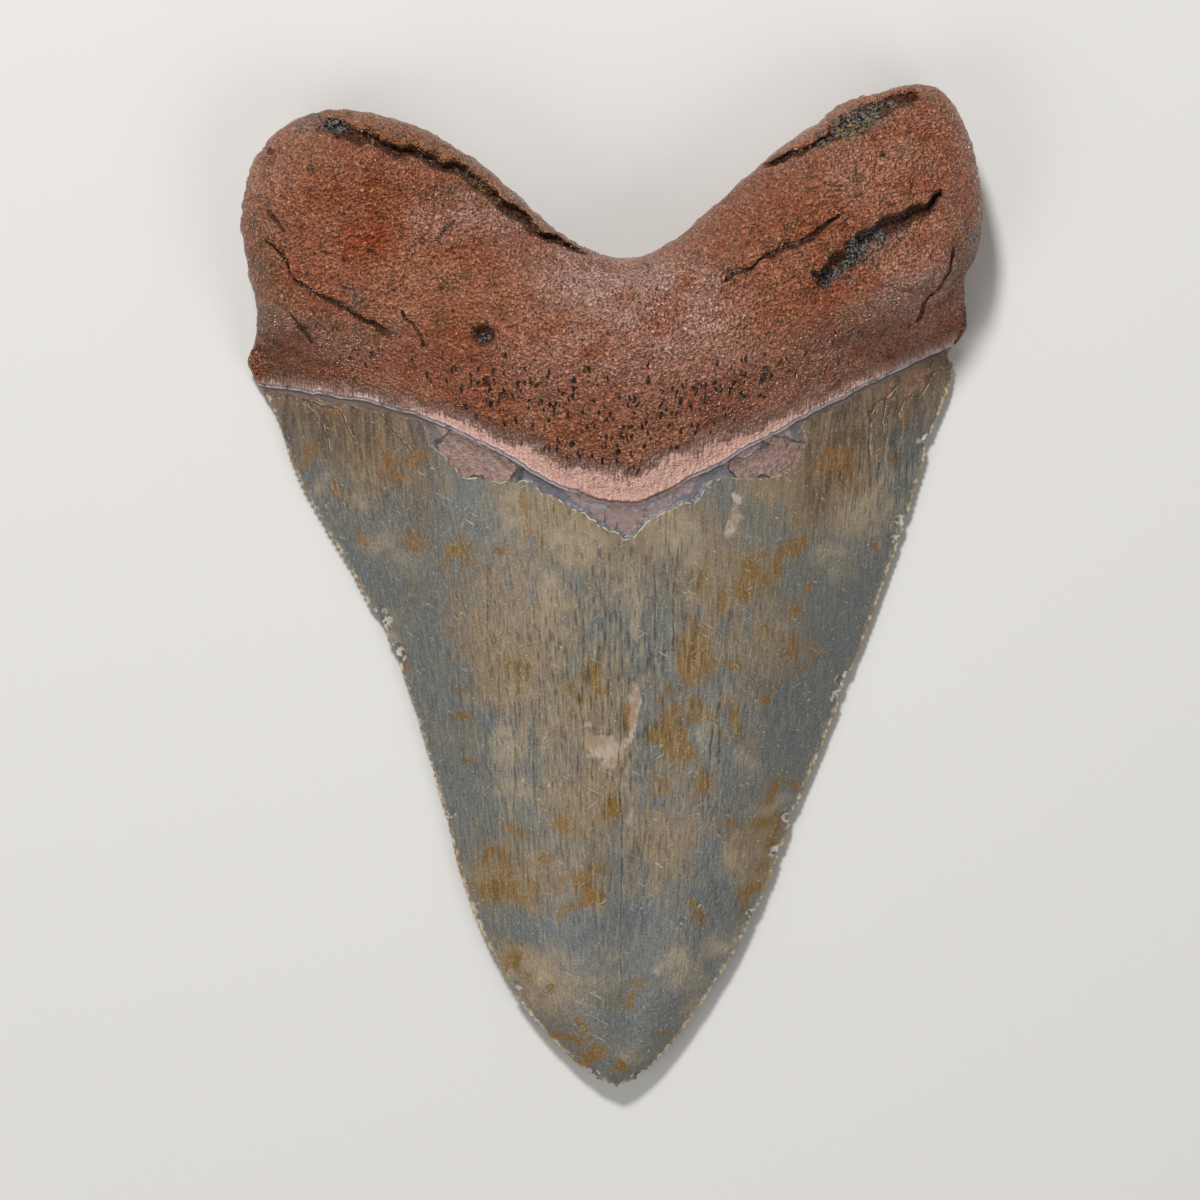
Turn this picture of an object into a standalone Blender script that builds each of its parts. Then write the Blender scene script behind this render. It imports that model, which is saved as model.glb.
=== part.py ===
"""A megalodon tooth: one solid that lies on its flat labial face, with the convex lingual face up.

Run it with: blender --background --python part.py, or from Blender's text editor.

The frame: +X to the right of the lingual face, +Y from the tip of the crown to the root, +Z up. The origin is
at the middle of the tooth's box, at the height of the surface that it lies on. All lengths here are in mm.

The tooth is a pillow of two triangulated faces that share one outline. A plan of points is laid out for each
face: the outline, rows of points inset from it, rows along the ledges and grooves, and a lattice in between.
lingual_height() and labial_height() then lift each point to its face.
"""

import math

import bmesh
import bpy
import numpy as np
from mathutils import Vector
from mathutils.geometry import delaunay_2d_cdt

METRES = 0.001

# Driving dimensions
TOOTH_LENGTH = 146.0
TOOTH_WIDTH = 107.8
CROWN_HEIGHT = 80.0  # from the tip to the middle of the neck, on the lingual face
CROWN_RISE = 17.5  # of the lingual face over the cutting edges, at the neck
ROOT_LOBE_TOP = 20.0
ROOT_BOSS_TOP = 27.5
ROOT_EDGE_LEVEL = 9.5  # height of the root's outermost line
CUTTING_EDGE_LEVEL = 1.8
TIP_LIFT = 1.6  # how much further the tip's edge is lifted

# The outline, clockwise in plan. The tip and the tops of both lobes are where the length is measured.
TIP = (0.8, -TOOTH_LENGTH / 2)
LEFT_CORNER = (-50.2, 27.4)
RIGHT_CORNER = (49.7, 34.5)
ROOT_OUTLINE = [
    LEFT_CORNER, (-53.0, 32.4), (-51.7, 40.0), (-TOOTH_WIDTH / 2, 53.6), (-51.3, 63.0), (-45.3, 68.1),
    (-38.4, 69.5), (-26.3, 66.2), (-17.5, 60.4), (-9.8, 53.5), (-3.2, 49.2), (2.4, 47.8),
    (8.3, 50.1), (15.5, 56.1), (24.0, 63.9), (33.5, 70.3), (45.0, TOOTH_LENGTH / 2), (49.7, 70.0),
    (53.0, 63.0), (TOOTH_WIDTH / 2, 55.4), (52.6, 48.3), (51.5, 43.3), (52.2, 38.2), RIGHT_CORNER,
]
RIGHT_CUTTING_EDGE = [
    RIGHT_CORNER, (50.3, 31.4), (46.7, 20.9), (42.8, 8.1), (38.1, -4.8), (33.0, -18.3),
    (27.7, -31.2), (22.1, -45.8), (15.6, -57.6), (9.2, -66.4), (4.4, -71.4), TIP,
]
LEFT_CUTTING_EDGE = [
    TIP, (-4.4, -70.2), (-13.7, -60.1), (-20.8, -45.8), (-25.7, -28.8), (-30.6, -13.3),
    (-37.8, 1.7), (-45.3, 14.6), LEFT_CORNER,
]

# The neck on the lingual face: the root's pink rim stands on the first line, and the enamel begins at the
# second. The bourlette is the band between them, with one oval widening on each side.
ROOT_RIM = [
    (-53.5, 30.4), (-43.6, 28.7), (-31.0, 26.0), (-18.7, 21.1), (-7.6, 14.9), (2.9, 12.2), (13.0, 16.7),
    (21.8, 21.6), (31.0, 26.5), (42.9, 32.5), (53.5, 37.6),
]
ENAMEL_TOP = [
    (-50.0, 27.6), (-36.5, 26.0), (-27.8, 23.2), (-24.6, 19.0), (-20.3, 15.6), (-12.1, 15.2), (-6.0, 12.0),
    (2.4, 6.9), (7.7, 10.6), (14.7, 13.9), (21.8, 15.8), (26.0, 18.0), (29.0, 23.8), (37.0, 28.0),
    (49.6, 34.2),
]
LABIAL_NECK = [(-53.5, 28.5), (-30.0, 22.0), (0.0, 17.0), (30.0, 24.0), (53.5, 35.5)]
NECK_BLEND = (20.0, 6.0)  # how far the root takes to rise out of the crown, at the middle and at the corners
RIM_RIDGE = (0.45, 0.9)  # height and half width
ENAMEL_STEP = 0.4
LABIAL_STEP = 0.6
LABIAL_HOLLOW = 2.4
LOBE_LIFT = 0.004  # per mm of height, as the ends of the lobes turn up

# Rounding of the root towards its outline, as distances in plan, and of the flat labial face of the crown
LINGUAL_ROUNDING = 11.0
LABIAL_ROUNDING = 7.0
LABIAL_FLAT_INSET = 12.0

# The cutting edges: serrations, and chips as (side, y, length, depth)
SERRATION_PITCH = 1.05
SERRATION_DEPTH = 0.32
CHIPS = [
    ("left", -7.4, 9.5, 0.75), ("right", 21.4, 3.2, 0.7), ("right", 10.0, 2.2, 0.5),
    ("right", -14.4, 4.6, 0.7), ("right", -34.0, 4.4, 0.6), ("right", -38.6, 2.4, 0.4),
]
CHIP_SCOOP = (1.1, 0.9)  # radius over the chip's length, and depth over the chip's depth

# Grooves as paths in plan, with their half width and depth
LEFT_RIM_GROOVE = [
    (-42.0, 67.2), (-39.1, 66.0), (-34.7, 64.7), (-29.6, 63.2), (-24.4, 61.0), (-20.0, 58.3),
    (-15.6, 54.7), (-11.2, 51.0), (-6.4, 48.7),
]
RIGHT_RIM_GROOVE = [(19.6, 58.6), (26.2, 61.8), (33.5, 66.0), (38.2, 68.0), (42.6, 70.6)]
GOUGE = [(30.4, 43.1), (31.5, 45.7), (34.8, 48.2), (37.0, 50.7), (40.3, 52.6), (43.5, 53.6), (47.4, 56.4)]
LEFT_CRACK = [(-49.8, 49.7), (-45.7, 45.0), (-43.2, 42.3), (-38.8, 40.1), (-35.6, 38.4), (-30.7, 36.0)]
RIGHT_CRACK = [(15.5, 42.3), (19.4, 45.6), (24.6, 48.9), (27.8, 49.2), (33.7, 53.3)]
GROOVES = [
    (LEFT_RIM_GROOVE, 1.3, 1.7), (RIGHT_RIM_GROOVE, 1.7, 1.5), (GOUGE, 2.0, 1.9),
    (LEFT_CRACK, 0.8, 0.7), (RIGHT_CRACK, 0.8, 0.6),
]
FORAMEN = (-18.3, 36.0)  # the nutrient hole beside the boss
FORAMEN_RADII = (1.9, 1.5)
FORAMEN_DEPTH = 1.8

# Facet sizes
ROOT_FACET = 2.6
CROWN_FACET = 3.1
FLAT_FACET = 9.0
CURVE_STEPS = 24


# Curves in plan


def along(points, spacing):
    """Evenly spaced points on a smooth curve through the given ones, with both ends."""
    given = np.array(points, float)
    given = np.vstack([2 * given[0] - given[1], given, 2 * given[-1] - given[-2]])
    t = np.linspace(0, 1, CURVE_STEPS, endpoint=False)[:, None]
    spans = [
        (2 * b + (c - a) * t + (2 * a - 5 * b + 4 * c - d) * t**2 + (3 * b - a - 3 * c + d) * t**3) / 2
        for a, b, c, d in zip(given, given[1:], given[2:], given[3:])
    ]
    curve = np.vstack([*spans, given[-2:-1]])
    run = np.append(0, np.cumsum(np.linalg.norm(np.diff(curve, axis=0), axis=1)))
    at = np.linspace(0, run[-1], max(2, round(run[-1] / spacing) + 1))
    return np.stack([np.interp(at, run, curve[:, k]) for k in (0, 1)], axis=1)


def right_of(line):
    """The unit vector to the right of each point's direction of travel."""
    way = np.gradient(line, axis=0)
    way /= np.linalg.norm(way, axis=1, keepdims=True)
    return np.stack([way[:, 1], -way[:, 0]], axis=1)


def path_distance(points, line):
    """For each point: its distance from the line, negative on the left, and its share of the line's length."""
    starts, ways = line[:-1], np.diff(line, axis=0)
    lengths = np.linalg.norm(ways, axis=1)
    away = points[:, None] - starts
    share = np.clip((away * ways).sum(2) / lengths**2, 0, 1)
    gap = away - share[..., None] * ways
    nearest = np.linalg.norm(gap, axis=2).argmin(axis=1)
    row = np.arange(len(points))
    gap, way = gap[row, nearest], ways[nearest]
    side = np.sign(gap[:, 0] * way[:, 1] - gap[:, 1] * way[:, 0])
    run = np.append(0, np.cumsum(lengths))
    done = (run[nearest] + share[row, nearest] * lengths[nearest]) / run[-1]
    return side * np.linalg.norm(gap, axis=1), done


def inside(points, loop):
    """Whether each point lies inside the closed loop."""
    x, y = points[:, 0, None], points[:, 1, None]
    x0, y0 = loop.T
    x1, y1 = np.roll(loop, -1, axis=0).T
    crosses = (y0 > y) != (y1 > y)
    rise = np.where(y1 == y0, 1, y1 - y0)
    return (crosses & (x < x0 + (y - y0) * (x1 - x0) / rise)).sum(axis=1) % 2 == 1


def eased(value, end):
    """0 below 0, 1 above end, and a smooth step between them."""
    t = np.clip(value / end, 0, 1)
    return t * t * (3 - 2 * t)


# The outline


def chip_depth(side, y):
    """How far the chips of one side move its cutting edge inwards at height y."""
    depth = np.zeros_like(y)
    for chip_side, middle, length, deepest in CHIPS:
        if chip_side == side:
            depth += deepest * np.clip(1 - (2 * (y - middle) / length) ** 2, 0, 1)
    return depth


def cutting_edge(points, side):
    """A cutting edge with two points for each serration: its crown and the notch before the next one."""
    line = along(points, SERRATION_PITCH / 2)
    depth = chip_depth(side, line[:, 1])
    depth[1:-1:2] += SERRATION_DEPTH
    return line + right_of(line) * depth[:, None]


SMOOTH_ROOT = along(ROOT_OUTLINE, ROOT_FACET)
SMOOTH_RIGHT = along(RIGHT_CUTTING_EDGE, SERRATION_PITCH)
SMOOTH_LEFT = along(LEFT_CUTTING_EDGE, SERRATION_PITCH)
SMOOTH_LOOP = np.vstack([SMOOTH_ROOT[:-1], SMOOTH_RIGHT[:-1], SMOOTH_LEFT])
OUTLINE = np.vstack([
    SMOOTH_ROOT[:-1],
    cutting_edge(RIGHT_CUTTING_EDGE, "right")[:-1],
    cutting_edge(LEFT_CUTTING_EDGE, "left")[:-1],
])


# Heights


def neck_distance(points, neck):
    """How far above the neck line each point is, towards the root."""
    line = along(neck, 1.0)
    return points[:, 1] - np.interp(points[:, 0], line[:, 0], line[:, 1])


def root_share(points, neck):
    """0 on the crown, 1 on the root, and between them where the root rises out of the crown."""
    middle, corner = NECK_BLEND
    outwards = np.clip(np.abs(points[:, 0]) / RIGHT_CORNER[0], 0, 1)
    return eased(neck_distance(points, neck), middle + (corner - middle) * outwards)


def rounded(inset, radius):
    """The share of the full height at this inset from the outline, for an edge as round as a flat ellipse."""
    t = 1 - np.clip(inset / radius, 0, 1)
    return (1 - t**2.3) ** (1 / 2.3)


def hump(points, centre, spread):
    """1 at the centre, falling off smoothly over the two spreads."""
    away = (points - np.array(centre)) / np.array(spread)
    return np.exp(-(away**2).sum(axis=1))


def cutting_edge_level(points):
    return CUTTING_EDGE_LEVEL + TIP_LIFT * eased(-points[:, 1] - 30, 43)


def crown_rise(points):
    """How high the lingual face of the crown stands over its cutting edges: a lens that thins to the tip."""
    x, y = points.T
    left = np.interp(y, SMOOTH_LEFT[:, 1], SMOOTH_LEFT[:, 0])
    right = np.interp(y, SMOOTH_RIGHT[::-1, 1], SMOOTH_RIGHT[::-1, 0])
    across = np.clip((x - left) / np.maximum(right - left, 0.1), 0, 1)
    from_tip = np.clip(y - TIP[1], 0, CROWN_HEIGHT + 20) / CROWN_HEIGHT
    return CROWN_RISE * from_tip**0.62 * (4 * across * (1 - across)) ** 1.15


def root_top(points):
    """The lingual face of the root before it rounds off: two lobes that thin outwards, and the boss."""
    x, y = points.T
    top = ROOT_LOBE_TOP - 0.0028 * np.maximum(np.abs(x) - 20, 0) ** 2 - 0.004 * np.maximum(y - 46, 0) ** 2
    top += (ROOT_BOSS_TOP - ROOT_LOBE_TOP) * hump(points, (1, 33), (22, 13))
    top += 1.6 * hump(points, (36, 47), (13, 10)) + 1.2 * hump(points, (-38, 58), (12, 8))
    return top - 1.1 * hump(points, (-34, 49), (10, 9))


def relief(points):
    """Ledges, grooves, pits and flake scars of the lingual face, as heights to add."""
    rim_height, rim_width = RIM_RIDGE
    above_rim = path_distance(points, along(ROOT_RIM, 1.0))[0]
    change = rim_height * np.clip(1 - np.abs(above_rim) / rim_width, 0, 1)
    above_enamel = -path_distance(points, along(ENAMEL_TOP, 1.0))[0]
    change -= ENAMEL_STEP * eased(above_enamel, 0.5) * eased(above_rim, 2.0)
    for path, half_width, depth in GROOVES:
        off, done = path_distance(points, along(path, 1.0))
        ends = eased(np.minimum(done, 1 - done), 0.12)
        change -= depth * ends * np.clip(1 - (off / half_width) ** 2, 0, 1)
    away = (points - np.array(FORAMEN)) / np.array(FORAMEN_RADII)
    change -= FORAMEN_DEPTH * np.clip(1 - (away**2).sum(axis=1), 0, 1) ** 0.5
    for side, middle, length, depth in CHIPS:
        line = SMOOTH_RIGHT if side == "right" else SMOOTH_LEFT
        centre = line[np.abs(line[:, 1] - middle).argmin()]
        radius = CHIP_SCOOP[0] * length / 2
        away = np.linalg.norm(points - centre, axis=1) / radius
        change -= CHIP_SCOOP[1] * depth * np.clip(1 - away**2, 0, 1)
    return change


def lingual_height(points, inset):
    share = root_share(points, ROOT_RIM)
    crown = cutting_edge_level(points) + crown_rise(points)
    root = ROOT_EDGE_LEVEL + (root_top(points) - ROOT_EDGE_LEVEL) * rounded(inset, LINGUAL_ROUNDING)
    return crown + (root - crown) * share + relief(points) * eased(inset, 0.8)


def labial_height(points, inset):
    """Flat at 0 in the middle of the crown and on the lobes, rounding up to the edges; hollow between them."""
    share = root_share(points, LABIAL_NECK)
    crown = cutting_edge_level(points) * np.clip(1 - inset / LABIAL_FLAT_INSET, 0, 1) ** 2
    above_neck = neck_distance(points, LABIAL_NECK)
    hollow = LABIAL_STEP * eased(18 - above_neck, 10) + LABIAL_HOLLOW * hump(points, (1, 40), (13, 13))
    hollow += LOBE_LIFT * np.maximum(points[:, 1] - 50, 0) ** 2
    root = ROOT_EDGE_LEVEL + (hollow - ROOT_EDGE_LEVEL) * rounded(inset, LABIAL_ROUNDING)
    step = LABIAL_STEP * eased(above_neck, 1.2) * (1 - share) * eased(inset, 4)
    return crown + (root - crown) * share + step


# The plan of points


def inset_of(points):
    return np.abs(path_distance(points, SMOOTH_LOOP)[0])


def inset_rows(line, insets, spacings):
    """Rows of points at these insets from an outline, left out where the outline turns too tightly for them."""
    rows = []
    for inset, spacing in zip(insets, spacings):
        row = along(line, spacing)[1:-1]
        row = row + right_of(row) * inset
        rows.append(row[inset_of(row) > 0.85 * inset])
    return rows


def rounding_insets(radius, degrees):
    return [radius * (1 - math.cos(math.radians(a))) for a in degrees]


def beside(path, offsets, spacing):
    """Rows of points along a path, at these distances to its right."""
    line = along(path, spacing)
    return [line + right_of(line) * offset for offset in offsets]


def ring(centre, radii, count):
    angles = np.arange(count) * 2 * np.pi / count
    return np.array(centre) + np.array(radii) * np.stack([np.cos(angles), np.sin(angles)], axis=1)


def lattice(spacing):
    """A triangular lattice of points over the whole tooth."""
    x = np.arange(-TOOTH_WIDTH / 2, TOOTH_WIDTH / 2, spacing)
    y = np.arange(-TOOTH_LENGTH / 2, TOOTH_LENGTH / 2, spacing * math.sqrt(3) / 2)
    shift = (np.arange(len(y)) % 2) * spacing / 2
    return np.stack([x[None, :] + shift[:, None], np.broadcast_to(y[:, None], (len(y), len(x)))], 2).reshape(-1, 2)


def kept_apart(points, taken, gap):
    """The points that lie inside the outline and further than gap from every taken point."""
    points = points[inside(points, OUTLINE)]
    nearest = np.array([np.linalg.norm(taken - p, axis=1).min() for p in points])
    return points[nearest > gap]


def filled(rows, regions):
    """Rows of points, with lattices added between them. A region is (spacing, which points belong to it)."""
    plan = np.vstack([kept_apart(np.vstack(rows), OUTLINE, 0.3)])
    taken = np.vstack([OUTLINE, plan])
    for spacing, belongs in regions:
        more = lattice(spacing)
        more = more[belongs(more)]
        more = kept_apart(more, taken, 0.62 * spacing)
        plan, taken = np.vstack([plan, more]), np.vstack([taken, more])
    return plan


def edge_rows():
    """Two rows inside each cutting edge: one point straight in from each serration, then one for every two."""
    rows = []
    for points, side in ((RIGHT_CUTTING_EDGE, "right"), (LEFT_CUTTING_EDGE, "left")):
        line = along(points, SERRATION_PITCH / 2)
        inwards = right_of(line)
        for inset, step in ((0.8, 2), (2.4, 4)):
            row = line + inwards * (inset + chip_depth(side, line[:, 1]))[:, None]
            row = row[step::step]
            rows.append(row[inset_of(row) > 0.85 * inset])
    return rows


def lingual_plan():
    insets = rounding_insets(LINGUAL_ROUNDING, (20, 38, 56, 74))
    rows = edge_rows() + inset_rows(ROOT_OUTLINE, insets, [ROOT_FACET] * 4)
    rows += beside(ROOT_RIM, (-0.9, 0, 0.9), 2.0) + beside(ENAMEL_TOP, (-0.3, 0.3), 2.0)
    for path, half_width, _ in GROOVES:
        rows += beside(path, (-half_width, 0, half_width), 2 * half_width)
    rows += [np.array([FORAMEN]), ring(FORAMEN, FORAMEN_RADII, 12)]
    rows += [ring(FORAMEN, np.array(FORAMEN_RADII) * 0.6, 8)]
    on_root = [
        (ROOT_FACET, lambda p: neck_distance(p, ROOT_RIM) > 0),
        (CROWN_FACET, lambda p: neck_distance(p, ROOT_RIM) <= 0),
    ]
    return filled(rows, on_root)


def labial_plan():
    insets = rounding_insets(LABIAL_ROUNDING, (20, 42, 66))
    rows = edge_rows() + inset_rows(ROOT_OUTLINE, insets, [ROOT_FACET] * 3)
    rows += beside(LABIAL_NECK, (-1.2, 0), 3.0)
    flat = [
        (FLAT_FACET, lambda p: (neck_distance(p, LABIAL_NECK) < -2) & (inset_of(p) > LABIAL_FLAT_INSET)),
        (1.5 * CROWN_FACET, lambda p: (neck_distance(p, LABIAL_NECK) > 0) | (inset_of(p) < LABIAL_FLAT_INSET)),
    ]
    return filled(rows, flat)


# The solid


def triangles(plan):
    """Delaunay triangles inside the outline, as indices of the outline's points followed by the plan's."""
    points = np.vstack([OUTLINE, plan])
    count = len(OUTLINE)
    edges = [(i, (i + 1) % count) for i in range(count)]
    made = delaunay_2d_cdt([Vector(p) for p in points], edges, [], 1, 1e-6, True)
    source = np.array([ids[0] for ids in made[3]])
    faces = source[np.array(made[2])]
    return faces[inside(points[faces].mean(axis=1), OUTLINE)]


def opened(plan):
    """The plan with a point on each edge that would join two points of the outline right across the tooth.

    Both faces of the tooth could have such an edge, and the solid would be pinched along it.
    """
    while True:
        faces = triangles(plan)
        starts, ends = faces.ravel(), np.roll(faces, -1, axis=1).ravel()
        apart = np.abs(starts - ends)
        across = (np.maximum(starts, ends) < len(OUTLINE)) & (apart > 1) & (apart < len(OUTLINE) - 1)
        if not across.any():
            return plan
        pairs = np.unique(np.sort(np.stack([starts, ends], axis=1)[across], axis=1), axis=0)
        plan = np.vstack([plan, OUTLINE[pairs].mean(axis=1)])


def lifted(plan, height):
    return np.column_stack([plan, height(plan, inset_of(plan))])


def tooth_mesh():
    rim = lifted(OUTLINE, lambda points, inset: lingual_height(points, np.zeros(len(points))))
    lingual, labial = opened(lingual_plan()), opened(labial_plan())
    corners = np.vstack([rim, lifted(lingual, lingual_height), lifted(labial, labial_height)])
    corners -= [*(corners.min(axis=0) + corners.max(axis=0))[:2] / 2, 0]
    built = bmesh.new()
    verts = [built.verts.new(corner * METRES) for corner in corners]
    for face in triangles(lingual):
        built.faces.new([verts[i] for i in face])
    for face in triangles(labial):
        labial_face = [i if i < len(rim) else i + len(lingual) for i in face]
        built.faces.new([verts[i] for i in reversed(labial_face)])
    mesh = bpy.data.meshes.new("tooth")
    built.to_mesh(mesh)
    built.free()
    return mesh


def finish(name, colour, roughness):
    """A material with no metal in it."""
    material = bpy.data.materials.new(name)
    material.use_nodes = True
    shader = material.node_tree.nodes["Principled BSDF"]
    shader.inputs["Base Color"].default_value = (*colour, 1)
    shader.inputs["Roughness"].default_value = roughness
    shader.inputs["Metallic"].default_value = 0
    return material


def paint(mesh):
    """Gives each face the finish of the root, the bourlette or the enamel."""
    for material in (
        finish("root_bone", (0.27, 0.11, 0.07), 0.7),
        finish("bourlette", (0.2, 0.14, 0.14), 0.6),
        finish("enamel", (0.2, 0.18, 0.13), 0.4),
    ):
        mesh.materials.append(material)
    for face in mesh.polygons:
        middle = np.array([face.center[:2]]) / METRES
        if face.normal.z < 0:
            face.material_index = 0 if neck_distance(middle, LABIAL_NECK)[0] > 0 else 2
        else:
            on_root = neck_distance(middle, ROOT_RIM)[0] > 0
            on_enamel = path_distance(middle, along(ENAMEL_TOP, 1.0))[0][0] > 0
            face.material_index = 0 if on_root else 2 if on_enamel else 1


def main():
    for old in list(bpy.data.objects):
        bpy.data.objects.remove(old)
    mesh = tooth_mesh()
    paint(mesh)
    mesh.shade_smooth()
    mesh.set_sharp_from_angle(angle=math.radians(50))
    tooth = bpy.data.objects.new("tooth", mesh)
    bpy.context.scene.collection.objects.link(tooth)


main()
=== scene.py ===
"""The looks of a fossil megalodon tooth that lies on a pale floor, seen from straight above.

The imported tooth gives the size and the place. One finer mesh of the same form stands for it here, with
serrations, cracks, grooves and ledges, and with fields that tell its materials where each look begins and
ends. Lengths are in mm, in the frame of the tooth, until the mesh is built in metres.
"""

import math
from types import SimpleNamespace

import bmesh
import bpy
import numpy as np
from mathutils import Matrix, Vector
from mathutils.geometry import delaunay_2d_cdt
from mathutils.kdtree import KDTree


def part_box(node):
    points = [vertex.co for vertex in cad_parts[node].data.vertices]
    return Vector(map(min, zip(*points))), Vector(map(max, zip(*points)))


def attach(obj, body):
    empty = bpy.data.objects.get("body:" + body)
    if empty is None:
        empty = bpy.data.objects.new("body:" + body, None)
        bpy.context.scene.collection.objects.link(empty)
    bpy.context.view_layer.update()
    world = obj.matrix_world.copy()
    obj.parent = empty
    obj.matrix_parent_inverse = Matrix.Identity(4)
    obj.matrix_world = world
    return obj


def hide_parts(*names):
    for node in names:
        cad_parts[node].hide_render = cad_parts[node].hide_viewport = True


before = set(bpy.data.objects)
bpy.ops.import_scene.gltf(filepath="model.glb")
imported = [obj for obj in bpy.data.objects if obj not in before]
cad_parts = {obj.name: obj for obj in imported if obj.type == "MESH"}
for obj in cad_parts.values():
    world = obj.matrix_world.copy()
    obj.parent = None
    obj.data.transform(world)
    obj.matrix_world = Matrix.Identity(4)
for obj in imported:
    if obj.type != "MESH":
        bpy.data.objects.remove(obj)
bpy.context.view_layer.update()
MM = 0.001

# Form: the tooth's outline in plan, clockwise, and the lines where its looks change

HALF_LENGTH, HALF_WIDTH = 73.0, 53.9
TIP = (0.8, -HALF_LENGTH)
LEFT_CORNER = (-50.2, 27.4)
RIGHT_CORNER = (49.7, 34.5)
ROOT_OUTLINE = [
    LEFT_CORNER, (-53.0, 32.4), (-51.7, 40.0), (-HALF_WIDTH, 53.6), (-51.3, 63.0), (-45.3, 68.1),
    (-38.4, 69.5), (-26.3, 66.2), (-17.5, 60.4), (-9.8, 53.5), (-3.2, 49.2), (2.4, 47.8),
    (8.3, 50.1), (15.5, 56.1), (24.0, 63.4), (29.3, 67.0), (31.8, 69.2), (35.3, 71.2),
    (39.7, 72.0), (44.6, HALF_LENGTH), (48.4, 71.6), (51.7, 66.2), (HALF_WIDTH, 57.0), (53.6, 50.6),
    (51.9, 45.6), (51.5, 42.6), (52.2, 38.2), RIGHT_CORNER,
]
RIGHT_CUTTING_EDGE = [
    RIGHT_CORNER, (50.3, 31.4), (46.7, 20.9), (42.8, 8.1), (38.1, -4.8), (33.0, -18.3),
    (27.7, -31.2), (22.1, -45.8), (15.6, -57.6), (9.2, -66.4), (4.4, -71.4), TIP,
]
LEFT_CUTTING_EDGE = [
    TIP, (-4.4, -70.2), (-13.7, -60.1), (-20.8, -45.8), (-25.7, -28.8), (-30.6, -13.3),
    (-37.8, 1.7), (-45.3, 14.6), LEFT_CORNER,
]
ROOT_RIM = [
    (-53.5, 30.4), (-43.6, 28.7), (-31.0, 26.0), (-18.7, 21.1), (-7.6, 14.9), (2.9, 12.2), (13.0, 16.7),
    (21.8, 21.6), (31.0, 26.5), (42.9, 32.5), (53.5, 37.6),
]
ENAMEL_TOP = [
    (-50.0, 28.6), (-43.5, 27.6), (-36.5, 26.2), (-30.2, 24.5), (-27.8, 23.4), (-24.6, 19.6),
    (-21.5, 16.6), (-17.0, 15.4), (-12.1, 15.2), (-9.6, 13.6), (-6.4, 11.9), (-2.0, 9.4), (2.4, 6.7),
    (5.2, 9.6), (7.7, 10.6), (13.0, 13.6), (16.6, 15.7), (21.8, 15.9), (26.0, 17.6), (27.4, 20.2),
    (27.6, 23.6), (31.0, 25.4), (37.0, 28.5), (43.4, 31.7), (49.6, 34.9),
]
LABIAL_NECK = [(-53.5, 28.5), (-30.0, 22.0), (0.0, 17.0), (30.0, 24.0), (53.5, 35.5)]

# Heights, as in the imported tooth

CROWN_HEIGHT, CROWN_RISE = 80.0, 17.5
ROOT_LOBE_TOP, ROOT_BOSS_TOP, ROOT_EDGE_LEVEL = 20.0, 27.5, 9.5
CROWN_TAPER, CROWN_LENS = 0.62, 1.15  # powers: of the thinning to the tip, and of the section's curve
CUTTING_EDGE_LEVEL, TIP_LIFT, TIP_LIFT_FROM = 1.8, 1.6, -30.0
NECK_BLEND = (20.0, 12.0)  # how far up the root rises out of the crown, in the middle and at the corners
LINGUAL_ROUNDING, LABIAL_ROUNDING, LABIAL_FLAT_INSET = 11.0, 7.0, 12.0
LABIAL_STEP, LABIAL_HOLLOW, LOBE_LIFT = 0.6, 2.4, 0.004
HOLLOW_CENTRE, HOLLOW_SPREAD = (1, 40), (13, 13)
LOBE_THINNING, LOBE_THINS_BEYOND = (0.0028, 0.004), (20.0, 46.0)  # outwards and upwards
EDGE_ROUNDNESS = 2.3
SKIN_GAP = 0.05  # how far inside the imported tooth's box the finer mesh stays

# Swellings of the root, as places: height, centre, spread
ROOT_SWELLINGS = [
    (ROOT_BOSS_TOP - ROOT_LOBE_TOP, (1, 33), (22, 13)), (1.6, (36, 47), (13, 10)),
    (1.2, (-38, 58), (12, 8)), (-1.1, (-34, 49), (10, 9)),
]

# Relief of the lingual face
RIDGE_HEIGHT, RIDGE_WIDTH = 0.4, 0.8
ENAMEL_STEP, BARE_STEP_SHARE = 0.35, 0.6
SCAR_DEPTH, WORN_DEPTH, SCOOP_DEPTH = 0.22, 0.2, 0.45
CRACK_DEPTH, CRACK_HALF_WIDTH = 0.16, 0.25
LINE_REACH = 3.0  # no look needs to know of a crack from further away

# Roughness, as layers of noise: height, size, seed
SERRATION_ROUGHNESS = [(0.35, 1.7, 3), (0.25, 9.0, 4)]  # as shares of a serration
OUTLINE_ROUGHNESS = [(0.16, 2.4, 6), (0.1, 0.9, 7)]
ROOT_ROUGHNESS = [(0.2, 7.0, 91), (0.12, 2.6, 92), (0.07, 1.1, 93)]
CROWN_ROUGHNESS = [(0.07, 13.0, 94), (0.02, 3.0, 95)]

# The cutting edges: serrations, and chips as (side, y, length, depth)

SERRATION_PITCH, SERRATION_DEPTH = 1.05, 0.3
SERRATION_POINTS = 4
OUTLINE_SHRINK = 0.12  # how far inside the smooth outline of the root its rough one lies, on average
CHIPS = [
    ("left", -5.2, 5.0, 0.75), ("left", -10.0, 4.6, 0.6), ("right", 21.4, 2.4, 0.7),
    ("right", 10.0, 1.6, 0.55), ("right", 7.2, 1.4, 0.35), ("right", -13.4, 2.6, 0.6),
    ("right", -15.9, 2.2, 0.5), ("right", -33.4, 3.0, 0.6), ("right", -38.6, 2.0, 0.45),
    ("right", -47.6, 1.4, 0.4), ("left", -33.0, 1.4, 0.35), ("left", -58.4, 1.2, 0.4),
    ("left", -70.9, 1.6, 0.5), ("right", -71.2, 1.2, 0.5),
]

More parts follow.
